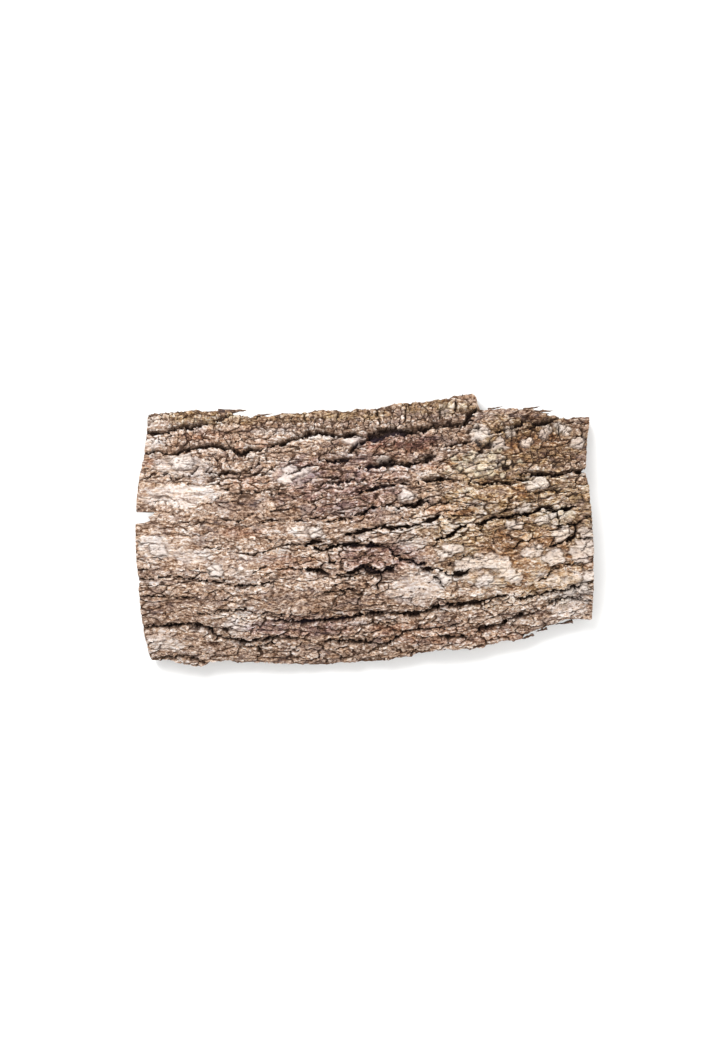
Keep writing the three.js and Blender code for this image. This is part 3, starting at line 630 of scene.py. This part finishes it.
def rough_side(x, y):
    """The rough side at plan places: its height over the arch, and the fields that colour it"""
    flow = y - 0.06 * x - 0.00025 * x ** 2
    along = x + waves(x, y, [(2.2, 9, 5, 1), (1.1, 2.6, 1.8, 2)])
    across = flow + waves(x, y, [(1.5, 12, 5, 3), (0.7, 2.4, 1.5, 4)])
    smooth = area_mask(SMOOTH_AREAS, x, y, 10)
    block = area_mask(BLOCK_AREAS, x, y, 14) * (1 - smooth)
    rough = 1 - np.maximum(0.85 * smooth, 0.5 * area_mask(CALM_AREAS, x, y, 17))
    rough *= 1 - 0.4 * block

    layer = 0.5 + 0.62 * layered_noise(along / LAYER_SIZE[0], across / LAYER_SIZE[1], 20, 4)
    layers = terraces(layer, LAYER_COUNT, LAYER_SLOPE)
    plates = Cells(along, across, PLATE_SIZE, 26)
    lumps = Cells(along, across, LUMP_SIZE, 30)
    block_x = x / BLOCK_SIZE[0] + 0.4 * noise(x / 4, y / 4, 39)
    block_y = flow / BLOCK_SIZE[1] + 0.4 * noise(x / 4, y / 4, 57)
    blocks = Cells(block_x, block_y, (1, 1), 58)

    tilt = 0.6 * lumps.x * (lumps.random(32) - 0.5) + 0.8 * lumps.y * (lumps.random(33) - 0.35)
    lump = 0.5 * smoothstep(0, 0.3, lumps.edge) + 0.9 * tilt + 0.65 * lumps.random(34)
    dome = smoothstep(0, 0.16, blocks.edge) - 0.8 + 1.1 * (blocks.random(59) - 0.5)
    fibres = waves(along, across, [(0.2, 18, 1.1, 50), (0.12, 8, 0.5, 51)])
    split = splits(along, across)
    block_gap = blocks.gap(0.02, 0.12) * block * (blocks.random(86) > 0.3)
    border = plates.gap(0.02, 0.12) * (plates.random(27) > 0.4)
    groove = lumps.gap(0, 0.1) * (lumps.random(49) > 0.6)

    height = -LAYERS_HEIGHT * (1 - layers) * (1 - 0.6 * smooth)
    height += (0.9 * smoothstep(0, 0.28, plates.edge) - 1.1 * border + lump - 1.9) * rough
    height += 1.3 * (plates.random(28) - 0.5) * rough
    height += dome * block - 0.5 * block_gap - 1.1 * smooth + fibres * (0.5 + smooth) - 0.8 * split
    height += 0.8 * noise(x / 30, y / 12, 54)
    texture = height - blur(height, TEXTURE_BLUR)
    height += 0.45 * layered_noise(x / 1.3, y / 1.1, 55, 2) * rough
    plate, plate_gap = pale_plates(x, y)
    height += 1.3 * plate - 0.8 * plate_gap - 0.4 * lump * rough * plate

    fissure_depth, in_fissure, near, lip = fissures(x, y)
    pit_depth, in_pit = pits(x, y)
    knot_height, hole, collar = knot(x, y)
    lichen, ring = lichens(x, y)
    height += 0.3 * lip - fissure_depth - pit_depth + knot_height + 0.5 * lichen
    cracks = np.maximum.reduce([split, groove * rough, border * rough]) * (1 - plate)
    fields = {
        # fissure marks where the colour goes near-black: painted shade in the hollows
        "fissure": np.maximum.reduce([in_fissure, in_pit, hole, 0.75 * collar]),
        "near": near,
        "smooth": smooth,
        "block": block,
        "lichen": lichen,
        "white": area_mask(WHITE_AREAS, x, y, 70),
        "plate": plate,
        "light": area_mask(LIGHT_AREAS, x, y, 71) - area_mask(DARK_AREAS, x, y, 72),
        "olive": area_mask(OLIVE_AREAS, x, y, 73),
        "rust": area_mask(RUST_AREAS, x, y, 76),
        "plum": area_mask(PLUM_AREAS, x, y, 79),
        "flake": 0.5 * lumps.random(82) + 0.5 * plates.random(83),
        "layer": layers,
        "gap": np.maximum.reduce([plate_gap, block_gap, cracks]),
        "collar": np.maximum(collar, ring),
        "lip": lip,
        # rim is a painted highlight on what stands over its surroundings
        "rim": np.clip(texture / RELIEF_AS_ONE, 0, 1) * (1 - near),
        # crevice is painted shade in what lies under its surroundings
        "crevice": np.clip(-texture / RELIEF_AS_ONE, 0, 1),
        # high makes raised places lighter and sunken ones darker: painted light and shade
        "high": np.clip(0.5 + (height - blur(height, HIGH_BLUR)) / 4, 0, 1),
    }
    return height, fields


def edge_value(points, at, salt, rough):
    """An outline edge read at the given places, frayed"""
    places, values = zip(*points)
    fray = rough * (line_noise(at / 2.6, salt) + 0.6 * line_noise(at / 0.9, salt + 1))
    return np.interp(at, places, values) + fray


def plan_grid():
    """Plan places of the grid points: rows from front to back, columns from left to right"""
    x0 = np.linspace(-HALF_LENGTH, HALF_LENGTH, int(2 * HALF_LENGTH / COLUMN) + 1)
    share = np.linspace(0, 1, int(WIDEST / ROW) + 1)[:, None]
    edges = []
    for points, salt in ((FRONT_EDGE, 90), (BACK_EDGE, 92)):
        exact = edge_value(points, x0, salt, TORN_FRAY)
        even = blur(exact[None, :].repeat(3, 0), EDGE_SMOOTHING / COLUMN)[1]
        edges.append((even, exact - even))
    (front, front_rest), (back, back_rest) = edges
    y = front + (back - front) * share
    y = y + front_rest * np.clip(1 - (y - front) / EDGE_BLEND, 0, 1)
    y = y + back_rest * np.clip(1 - (back - y) / EDGE_BLEND, 0, 1)
    x = np.broadcast_to(x0, y.shape)
    left = edge_value(LEFT_END, y, 94, SAWN_FRAY) + HALF_LENGTH
    right = edge_value(RIGHT_END, y, 96, SAWN_FRAY) - HALF_LENGTH
    x = x + left * np.clip(1 - (x0 + HALF_LENGTH) / EDGE_BLEND, 0, 1)
    x = x + right * np.clip(1 - (HALF_LENGTH - x0) / EDGE_BLEND, 0, 1)
    return x, y


def lifted(x, y, height):
    """Points that stand height above the arch, square to it"""
    slope = envelope_slope(x, y, 0.5)
    length = np.hypot(slope, 1)
    return np.stack([x, y - slope / length * height, envelope_height(x, y) + height / length], axis=-1)


def loop_of(grid):
    """The border of a grid of numbers, anticlockwise from the front left corner"""
    return np.concatenate([grid[0, :-1], grid[:-1, -1], grid[-1, :0:-1], grid[:0:-1, 0]])


def quads_of(grid):
    return np.stack([grid[:-1, :-1], grid[:-1, 1:], grid[1:, 1:], grid[1:, :-1]], axis=-1).reshape(-1, 4)


def make_object(name, points, faces, material_of_face, materials, attributes):
    """A mesh object from points in millimetres, faces, each face's material number and point attributes"""
    mesh = bpy.data.meshes.new(name)
    mesh.from_pydata((points * MM).tolist(), [], faces)
    mesh.polygons.foreach_set("material_index", np.asarray(material_of_face, dtype=np.int32))
    for key, values in attributes.items():
        mesh.attributes.new(key, "FLOAT", "POINT").data.foreach_set("value", values.astype(np.float32))
    for material in materials:
        mesh.materials.append(material)
    mesh.update()
    made = bpy.data.objects.new(name, mesh)
    bpy.context.scene.collection.objects.link(made)
    return made


def thin_out(made, most_triangles):
    """Gives the object's flat places larger faces, until it has at most that many triangles"""
    triangles = sum(len(face.vertices) - 2 for face in made.data.polygons)
    if triangles > most_triangles:
        modifier = made.modifiers.new("thin", "DECIMATE")
        modifier.ratio = most_triangles / triangles
        modifier.use_collapse_triangulate = True
        whole = made.data
        made.data = bpy.data.meshes.new_from_object(made.evaluated_get(bpy.context.evaluated_depsgraph_get()))
        made.modifiers.clear()
        bpy.data.meshes.remove(whole)
        made.data.name = made.name


def keep_inside(made):
    """Moves the points that lie outside the solid's box onto it"""
    low, high = np.array(CAD_BOX)
    places = np.zeros(3 * len(made.data.vertices), dtype=np.float32)
    made.data.vertices.foreach_get("co", places)
    inside = np.clip(places.reshape(-1, 3), low + BOX_MARGIN, high - BOX_MARGIN)
    made.data.vertices.foreach_set("co", inside.reshape(-1))
    made.data.update()


def shade(made, angle):
    made.data.polygons.foreach_set("use_smooth", np.ones(len(made.data.polygons), dtype=bool))
    made.data.set_sharp_from_angle(angle=math.radians(angle))


def wall_points(top, bottom):
    """Rows of points from the top loop down to the bottom one, roughened like torn, layered bark"""
    ahead = np.roll(top, -3, axis=0) - np.roll(top, 3, axis=0)
    outward = np.stack([ahead[:, 1], -ahead[:, 0]], axis=-1)
    outward /= np.maximum(np.linalg.norm(outward, axis=1), 1e-6)[:, None]
    run = np.concatenate([[0], np.cumsum(np.linalg.norm(np.diff(top[:, :2], axis=0), axis=1))])
    sawn = smoothstep(0.75, 0.95, np.abs(outward[:, 0]))
    rows = []
    for k in range(1, WALL_ROWS):
        share = k / WALL_ROWS
        row = top + (bottom - top) * share
        level = row[:, 2] / 1.3 + 0.8 * line_noise(run / 25, 100, 1)
        ledge_i = np.floor(run / 9 + 1.5 * noise(run / 6, level / 3, 105))
        ledge = cell_random(ledge_i, np.floor(level / 2.2), 106)
        torn = 0.9 * noise(run / 6, level, 101) + 0.7 * noise(run / 1.8, level * 1.7, 102) - 1.6 * ledge - 0.2
        cut = 0.25 * noise(run / 6, level * 1.4, 103) + 0.2 * noise(run / 1.1, level * 2.4, 104) - 0.1
        push = (torn * (1 - sawn) + cut * sawn) * math.sin(math.pi * share) ** 0.5
        row[:, :2] += outward * push[:, None]
        rows.append(row)
    return np.array(rows)


def bark(materials):
    """The whole piece: rough side, broken edges and inner side as one closed mesh"""
    x, y = plan_grid()
    height, fields = rough_side(x, y)
    inner = inner_height(x, y)
    top = lifted(x, y, height)
    top[..., 2] = np.maximum(top[..., 2], inner + LEAST_THICKNESS)
    top_points = top.reshape(-1, 3)
    bottom_points = np.stack([x, y, inner], axis=-1).reshape(-1, 3)
    count = x.size
    top_numbers = np.arange(count).reshape(x.shape)
    bottom_numbers = top_numbers + count
    top_loop, bottom_loop = loop_of(top_numbers), loop_of(bottom_numbers)
    walls = wall_points(top_points[top_loop], bottom_points[bottom_loop - count])
    wall_numbers = 2 * count + np.arange(walls.shape[0] * walls.shape[1]).reshape(walls.shape[:2])
    rings = np.vstack([top_loop, wall_numbers, bottom_loop])
    rings = np.hstack([rings, rings[:, :1]])
    points = np.vstack([top_points, bottom_points, walls.reshape(-1, 3)])
    points[:, :2] += SHIFT
    points = np.clip(points, *(np.array(CAD_BOX) / MM))

    sides = [quads_of(top_numbers), quads_of(rings)[:, ::-1], quads_of(bottom_numbers)[:, ::-1]]
    faces = np.vstack(sides).tolist()
    material_of_face = np.repeat([0, 1, 2], [len(side) for side in sides])
    attributes = {}
    for key, field in fields.items():
        attributes[key] = np.zeros(len(points))
        attributes[key][:count] = field.reshape(-1)
    attributes["depth"] = (envelope_height(points[:, 0], points[:, 1]) - points[:, 2]) * MM
    made = make_object("bark_plate", points, faces, material_of_face, materials, attributes)
    thin_out(made, MOST_TRIANGLES)
    keep_inside(made)
    shade(made, BARK_SHARP_ANGLE)
    return made, top, fields


def placed(name, points, faces, material, attributes):
    """A mesh moved from the outline's own places to the row's, and kept within the solid's box"""
    points = points + np.array([*SHIFT, 0])
    made = make_object(name, points, faces, np.zeros(len(faces)), [material], attributes)
    keep_inside(made)
    shade(made, PIECE_SHARP_ANGLE)
    return made


def flake_faces():
    """One flake's faces: two sides of a middle point and two rings each, and the corner numbers in use"""
    numbers = np.arange(6 * FLAKE_CORNERS).reshape(6, FLAKE_CORNERS)
    numbers[0] = numbers[0, 0]
    numbers[3] = numbers[3, 0]
    faces = []
    for low, high in ((0, 1), (1, 2), (2, 5), (5, 4), (4, 3)):
        for k in range(FLAKE_CORNERS):
            after = (k + 1) % FLAKE_CORNERS
            face = [numbers[low, k], numbers[high, k], numbers[high, after], numbers[low, after]]
            faces.append(list(dict.fromkeys(face)))
    used = np.unique(np.concatenate(faces))
    renumber = {old: new for new, old in enumerate(used)}
    return [[renumber[corner] for corner in face] for face in faces], used, np.isin(used, numbers[2])


def loose_flakes(top, fields, material):
    """Thin curled scales that sit on the rough side, with one side lifted and the other one sunk in"""
    random = np.random.default_rng(11)
    rows, columns = fields["fissure"].shape
    tries = FLAKES * 3
    row = random.integers(10, rows - 10, tries)
    column = random.integers(8, columns - 8, tries)
    free = (fields["fissure"][row, column] < 0.1) & (fields["near"][row, column] < 0.5)
    free &= random.random(tries) > fields["smooth"][row, column] * 0.9
    free &= fields["plate"][row, column] < 0.2
    row, column = row[free][:FLAKES], column[free][:FLAKES]
    count = len(row)
    middle = top[row, column]
    slope = envelope_slope(middle[:, 0], middle[:, 1], 1)
    normal = np.stack([slope * 0, -slope, slope * 0 + 1], axis=-1)
    normal /= np.linalg.norm(normal, axis=1)[:, None]
    turn = np.arctan2(0.06 + 0.0005 * middle[:, 0], 1) + random.normal(0, 0.6, count)
    side = np.stack([np.cos(turn), np.sin(turn), turn * 0], axis=-1)
    side -= normal * (side * normal).sum(axis=1)[:, None]
    other = np.cross(normal, side)
    length = 0.7 + 1.9 * random.random(count) ** 2
    width = length * random.uniform(0.35, 0.8, count)
    thick = random.uniform(0.3, 0.6, count)
    lift = random.uniform(0.1, 0.6, count)
    curl = random.uniform(-0.15, 0.3, count)
    lifted_side = np.where(random.random(count) < 0.7, -1.0, 1.0)

    angle = np.linspace(0, 2 * math.pi, FLAKE_CORNERS, endpoint=False)
    ragged = 1 + random.uniform(-0.42, 0.3, (count, FLAKE_CORNERS))
    points = []
    for layer in (1, 0):
        for ring in (0.0, 0.55, 1.0):
            across_share = ring * ragged * np.sin(angle)
            u = ring * ragged * np.cos(angle) * length[:, None]
            v = across_share * width[:, None]
            w = lift[:, None] * lifted_side[:, None] * across_share + curl[:, None] * ring ** 2
            w = w + 0.1 + (layer - 1) * thick[:, None] * (1 - 0.5 * ring)
            point = middle[:, None] + side[:, None] * u[..., None] + other[:, None] * v[..., None]
            points.append(point + normal[:, None] * w[..., None])
    faces, used, outer_ring = flake_faces()
    points = np.stack(points, axis=1).reshape(count, -1, 3)[:, used]
    all_faces = [[corner + n * len(used) for corner in face] for n in range(count) for face in faces]
    around = {key: fields[key][row, column] for key in FLAKE_FIELDS}
    around["flake"] = np.clip(around["flake"] + random.uniform(-0.25, 0.45, count), 0, 1)
    attributes = {key: np.repeat(values, len(used)) for key, values in around.items()}
    # Painted highlight on each flake's outer rim
    attributes["rim"] = np.tile(0.5 * outer_ring, count)
    return placed("loose_flakes", points.reshape(-1, 3), all_faces, material, attributes)


def splinters(material):
    """Torn slivers that stick out along the two long edges"""
    random = np.random.default_rng(5)
    points, faces = [], []
    for base, tip, width, thick, drop in SPLINTERS:
        base, tip = np.array(base), np.array(tip)
        way = tip - base
        out = np.array([-way[1], way[0]]) / np.hypot(*way)
        z = envelope_height(np.array([base[0]]), np.array([base[1]]))[0] - drop
        first = len(points)
        for k in range(SPLINTER_SECTIONS):
            share = k / (SPLINTER_SECTIONS - 1)
            size = max(0.08, (1 - share) ** 0.6) * (1 + 0.3 * random.uniform(-1, 1))
            middle = base + way * share + out * random.uniform(-0.25, 0.25)
            for c in range(SPLINTER_CORNERS):
                turn = 2 * math.pi * c / SPLINTER_CORNERS
                bumpy = size * (1 + 0.25 * random.uniform(-1, 1))
                place = middle + out * math.cos(turn) * width / 2 * bumpy
                points.append((place[0], place[1], z - 1.2 * share + math.sin(turn) * thick / 2 * bumpy))
        rings = first + np.arange(SPLINTER_SECTIONS * SPLINTER_CORNERS).reshape(-1, SPLINTER_CORNERS)
        closed = np.hstack([rings, rings[:, :1]])
        faces += quads_of(closed).tolist() + [rings[0, ::-1].tolist(), rings[-1].tolist()]
    count = len(points)
    attributes = {
        "flake": random.uniform(0, 0.3, count),
        "layer": np.full(count, 0.1),
        # A low high and a crevice value darken the splinters: painted shade
        "high": np.full(count, 0.3),
        "crevice": random.uniform(0.3, 0.8, count),
    }
    return placed("edge_splinters", np.array(points), faces, material, attributes)


class Nodes:
    """Short names for the nodes of one material"""

    def __init__(self, name):
        self.material = bpy.data.materials.new(name)
        self.material.use_nodes = True
        self.tree = self.material.node_tree
        self.shader = self.tree.nodes["Principled BSDF"]
        self.place = self.tree.nodes.new("ShaderNodeTexCoord").outputs["Object"]

    def put(self, kind, inputs=None, **settings):
        node = self.tree.nodes.new(kind)
        for key, value in settings.items():
            setattr(node, key, value)
        for key, value in (inputs or {}).items():
            self.feed(node.inputs[key], value)
        return node

    def feed(self, socket, value):
        if isinstance(value, bpy.types.NodeSocket):
            self.tree.links.new(value, socket)
        else:
            socket.default_value = value

    def field(self, name):
        return self.put("ShaderNodeAttribute", attribute_name=name).outputs["Fac"]

    def maths(self, operation, *values):
        node = self.put("ShaderNodeMath", operation=operation)
        for socket, value in zip(node.inputs, values):
            self.feed(socket, value)
        return node.outputs[0]

    def times(self, a, b):
        return self.maths("MULTIPLY", a, b)

    def add(self, total, share, value):
        """total plus a share of value"""
        return self.maths("MULTIPLY_ADD", value, share, total)

    def centred(self, pattern):
        return self.maths("SUBTRACT", pattern, 0.5)

    def ramp(self, value, *stops):
        """stops are pairs of place and colour or number"""
        node = self.put("ShaderNodeValToRGB", {"Fac": value})
        elements = node.color_ramp.elements
        while len(elements) < len(stops):
            elements.new(0.5)
        for element, (position, what) in zip(elements, stops):
            element.position = position
            element.color = linear(what) if isinstance(what, str) else [what, what, what, 1.0]
        return node.outputs["Color"]

    def mix(self, share, a, b, blend="MIX"):
        node = self.put("ShaderNodeMix", data_type="RGBA", blend_type=blend)
        self.feed(node.inputs[0], share)
        self.feed(node.inputs[6], linear(a) if isinstance(a, str) else a)
        self.feed(node.inputs[7], linear(b) if isinstance(b, str) else b)
        return node.outputs[2]

    def stretched(self, per_metre):
        """Object coordinates scaled so that a pattern has that many periods a metre along X, Y and Z"""
        return self.put("ShaderNodeMapping", {"Vector": self.place, "Scale": per_metre}).outputs[0]

    def noise(self, per_metre, detail=4.0, roughness=0.6, distortion=0.0):
        inputs = {"Vector": self.stretched(per_metre), "Scale": 1.0, "Detail": detail, "Roughness": roughness,
                  "Distortion": distortion}
        return self.put("ShaderNodeTexNoise", inputs).outputs["Fac"]

    def cell_tone(self, per_metre):
        """A random tone for each irregular cell"""
        cells = self.put("ShaderNodeTexVoronoi", {"Vector": self.stretched(per_metre), "Scale": 1.0})
        return self.put("ShaderNodeSeparateColor", {"Color": cells.outputs["Color"]}).outputs[0]

    def bump(self, height, strength, distance, normal=None):
        inputs = {"Height": height, "Strength": strength, "Distance": distance}
        if normal is not None:
            inputs["Normal"] = normal
        return self.put("ShaderNodeBump", inputs).outputs[0]

    def finish(self, colour, roughness, specular, normal):
        """Feeds the shader and gives the material"""
        self.feed(self.shader.inputs["Base Color"], colour)
        self.feed(self.shader.inputs["Roughness"], roughness)
        self.shader.inputs["Specular IOR Level"].default_value = specular
        self.feed(self.shader.inputs["Normal"], normal)
        return self.material


def outer_tone(n, grain):
    """How light the rough side is, from 0 to 1, and where its white scales are"""
    tone = 0.19
    for key, share in (("flake", 0.28), ("layer", 0.24), ("light", 0.1), ("smooth", 0.05), ("block", -0.04)):
        tone = n.add(tone, share, n.field(key))
    patterns = [
        (n.noise((16, 30, 30), 2, 0.5), 0.45), (n.noise((90, 200, 200)), 0.6), (grain, 2.1),
        # high adds painted light and shade: raised places lighter
        (n.cell_tone((440, 850, 850)), 0.26), (n.field("high"), 0.4),
    ]
    for pattern, share in patterns:
        tone = n.add(tone, share, n.centred(pattern))
    # Painted highlight on the raised edges
    tone = n.add(tone, 0.3, n.field("rim"))
    # Painted highlight: a light band along the fissures' lips
    uneven = n.ramp(n.noise((240, 420, 420), 3), (0.4, 0.2), (0.6, 1.0))
    tone = n.add(tone, 0.34, n.times(n.field("lip"), uneven))
    patchy = n.times(n.centred(n.noise((190, 360, 360), 6, 0.75)), 2.4)
    white = n.ramp(n.maths("ADD", n.field("white"), patchy), (0.4, 0.0), (0.62, 1.0))
    tone = n.add(tone, 0.16, white)
    return n.add(tone, 0.12, n.field("plate")), white


def outer_tints(n, colour, fibre):
    """Streaks, warm and cool patches, stains, lichens and pale plates over the rough side's colour"""
    streak = n.ramp(fibre, (0.36, 1.0), (0.48, 0.0))
    colour = n.mix(n.times(streak, n.add(0.15, 0.4, n.field("smooth"))), colour, "84685a", "MULTIPLY")
    warm = n.ramp(n.noise((170, 300, 300), 4, 0.65), (0.48, 0.0), (0.6, 1.0))
    colour = n.mix(n.times(warm, 0.32), colour, "ac863a", "SOFT_LIGHT")
    cool = n.ramp(n.noise((60, 130, 130), 4, 0.65, 1.0), (0.5, 0.0), (0.64, 1.0))
    colour = n.mix(n.times(cool, 0.35), colour, "7a7074")
    for key, tint, strength in TINTS:
        patches = n.ramp(n.noise((150, 260, 260), 4, 0.7), (0.38, 0.15), (0.58, 1.0))
        colour = n.mix(n.times(n.times(n.field(key), patches), strength), colour, tint, "SOFT_LIGHT")
    colour = n.mix(n.times(n.field("lichen"), 0.7), colour, "ddd0b6")
    speckled = n.ramp(n.noise((260, 420, 420), 5, 0.75), (0.36, 0.2), (0.46, 1.0))
    return n.mix(n.times(n.times(n.field("plate"), speckled), 0.55), colour, "dccfc6")


def outer_darks(n, colour, grain, cracks):
    """Cracks, gaps, crevices and the fissures with painted shade on their walls, over the rough side's colour
    """
    cracked = n.ramp(n.noise((30, 80, 80), 2, 0.5), (0.45, 0.0), (0.55, 1.0))
    crosswise = n.ramp(n.noise((300, 70, 70), 3, 0.6, 0.6), (0.47, 0.0), (0.5, 1.0), (0.53, 0.0))
    darks = [
        (n.times(cracks, cracked), 0.75, "41281c"),
        (n.times(crosswise, n.field("block")), 0.7, "3b2418"),
        # the gap round pale plates is painted shade; the block gaps and cracks are dark cracks
        (n.field("gap"), 0.65, "3e2a1d"),
        # painted shade in the crevices
        (n.field("crevice"), 0.6, "382619"),
        # the knot's collar is painted shade
        (n.field("collar"), 0.8, "3a2c22"),
    ]
    for where, strength, dark in darks:
        colour = n.mix(n.times(where, strength), colour, dark)
    # Painted shade: the fissure walls are darkened, further on the side away from the key light
    painted_wall_shade = n.times(n.field("near"), n.ramp(grain, (0.36, 0.9), (0.62, 0.4)))
    colour = n.mix(painted_wall_shade, colour, "443328")
    # Painted shade: the fissures, pits, knot hole and knot collar are coloured near-black where they are deep
    bottom = n.mix(n.field("plum"), "30211a", "2e2229")
    return n.mix(n.ramp(n.field("fissure"), (0.2, 0.0), (0.8, 1.0)), colour, bottom)


def outer_material(name):
    """Weathered scales over brown, with near-black fissures"""
    n = Nodes(name)
    grain = n.noise((430, 780, 780), 3, 0.75)
    fibre = n.noise((60, 1500, 900), 5, 0.6, 0.4)
    cracks = n.ramp(n.noise((70, 330, 330), 3, 0.6, 0.6), (0.475, 0.0), (0.5, 1.0), (0.525, 0.0))
    tone, white = outer_tone(n, grain)
    colour = n.ramp(tone, *BARK_COLOURS)
    colour = n.mix(n.times(white, 0.3), colour, "d6cdc8")
    colour = outer_tints(n, colour, fibre)
    colour = outer_darks(n, colour, grain, cracks)
    fine = n.bump(grain, 1.0, 0.0009, n.bump(fibre, 0.35, 0.0003))
    fine = n.bump(cracks, 0.4, -0.0004, fine)
    return n.finish(colour, n.ramp(grain, (0.3, 0.78), (0.7, 0.98)), 0.25, fine)


def edge_material(name):
    """Broken bark in layers along the arch: grey crust, brown cork and paler fibres near the inner side"""
    n = Nodes(name)
    place = n.put("ShaderNodeSeparateXYZ", {"Vector": n.place}).outputs
    depth = n.field("depth")
    n.place = n.put("ShaderNodeCombineXYZ", {"X": place["X"], "Y": place["Y"], "Z": depth}).outputs[0]
    layers = n.noise((45, 70, 520), 5, 0.7, 0.8)
    speck = n.noise((520, 520, 800), 4, 0.7)
    stain = n.noise((60, 60, 160))
    share = n.add(n.times(depth, 55.0), 0.7, n.centred(stain))
    colour = n.ramp(share, *EDGE_COLOURS)
    dark = n.ramp(layers, (0.36, 1.0), (0.5, 0.0))
    colour = n.mix(n.times(dark, 0.75), colour, "2c1f18")
    pale = n.ramp(layers, (0.54, 0.0), (0.68, 1.0))
    colour = n.mix(n.times(pale, 0.5), colour, "bfa284")
    grain = n.ramp(speck, (0.34, "6a6058"), (0.5, "b4aca4"), (0.64, "ffffff"))
    colour = n.mix(0.85, colour, grain, "MULTIPLY")
    fine = n.bump(speck, 0.9, 0.0009, n.bump(layers, 0.9, 0.0012))
    return n.finish(colour, n.ramp(speck, (0.3, 0.8), (0.7, 0.98)), 0.2, fine)


def inner_material(name):
    """The smooth inner side: long fibres, brown with lighter streaks and darker stains"""
    n = Nodes(name)
    fibre = n.noise((26, 620, 620), 6, 0.68, 0.5)
    fine = n.noise((90, 2400, 2400), 3, 0.65)
    tone = n.add(fibre, 0.5, n.centred(n.noise((22, 45, 45))))
    tone = n.add(tone, 0.6, n.centred(fine))
    colour = n.ramp(tone, *INNER_COLOURS)
    cracks = n.ramp(n.noise((9, 260, 260), 3, 0.6, 0.4), (0.485, 0.0), (0.5, 1.0), (0.515, 0.0))
    colour = n.mix(n.times(cracks, 0.6), colour, "2c1f18")
    fine = n.bump(fine, 0.3, 0.0003, n.bump(fibre, 0.7, 0.0006))
    return n.finish(colour, n.ramp(fibre, (0.3, 0.62), (0.7, 0.88)), 0.3, fine)


def floor():
    """A plain pale floor, which isn't part of the object"""
    material = bpy.data.materials.new("pale floor")
    material.use_nodes = True
    shader = material.node_tree.nodes["Principled BSDF"]
    shader.inputs["Base Color"].default_value = linear("f7f7f6")
    shader.inputs["Roughness"].default_value = 0.9
    mesh = bpy.data.meshes.new("floor")
    corners = [(FLOOR_HALF * x, FLOOR_HALF * y, 0) for x, y in ((-1, -1), (1, -1), (1, 1), (-1, 1))]
    mesh.from_pydata(corners, [], [(0, 1, 2, 3)])
    mesh.materials.append(material)
    made = bpy.data.objects.new("floor", mesh)
    bpy.context.scene.collection.objects.link(made)


def area_light(name, place, size, watts):
    """A square soft light that faces the object, in metres and watts"""
    light = bpy.data.lights.new(name, "AREA")
    light.size = size
    light.energy = watts
    made = bpy.data.objects.new(name, light)
    made.location = place
    made.rotation_euler = (Vector(LIGHT_TARGET) - Vector(place)).to_track_quat("-Z", "Y").to_euler()
    bpy.context.scene.collection.objects.link(made)


def lights():
    area_light("key", (-0.45, 0.8, 1.2), 0.7, 22)
    area_light("fill", (0.9, -0.5, 1.2), 1.2, 9)
    world = bpy.data.worlds.new("studio")
    world.use_nodes = True
    world.node_tree.nodes["Background"].inputs["Color"].default_value = (1, 1, 1, 1)
    world.node_tree.nodes["Background"].inputs["Strength"].default_value = 0.8
    bpy.context.scene.world = world
    bpy.context.scene.view_settings.view_transform = "Standard"


def camera():
    data = bpy.data.cameras.new("camera")
    data.sensor_width = SENSOR
    data.lens = SENSOR * FOCAL_PX / PHOTO_HEIGHT_PX
    made = bpy.data.objects.new("camera", data)
    made.location = CAMERA_PLACE
    bpy.context.scene.collection.objects.link(made)
    bpy.context.scene.camera = made


outer = outer_material("outer bark")
plate, top_points, top_fields = bark([outer, edge_material("broken edge"), inner_material("inner side")])
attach(plate, "root")
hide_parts("bark")

for piece in (loose_flakes(top_points, top_fields, outer), splinters(outer)):
    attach(piece, "root")

camera()
lights()
floor()
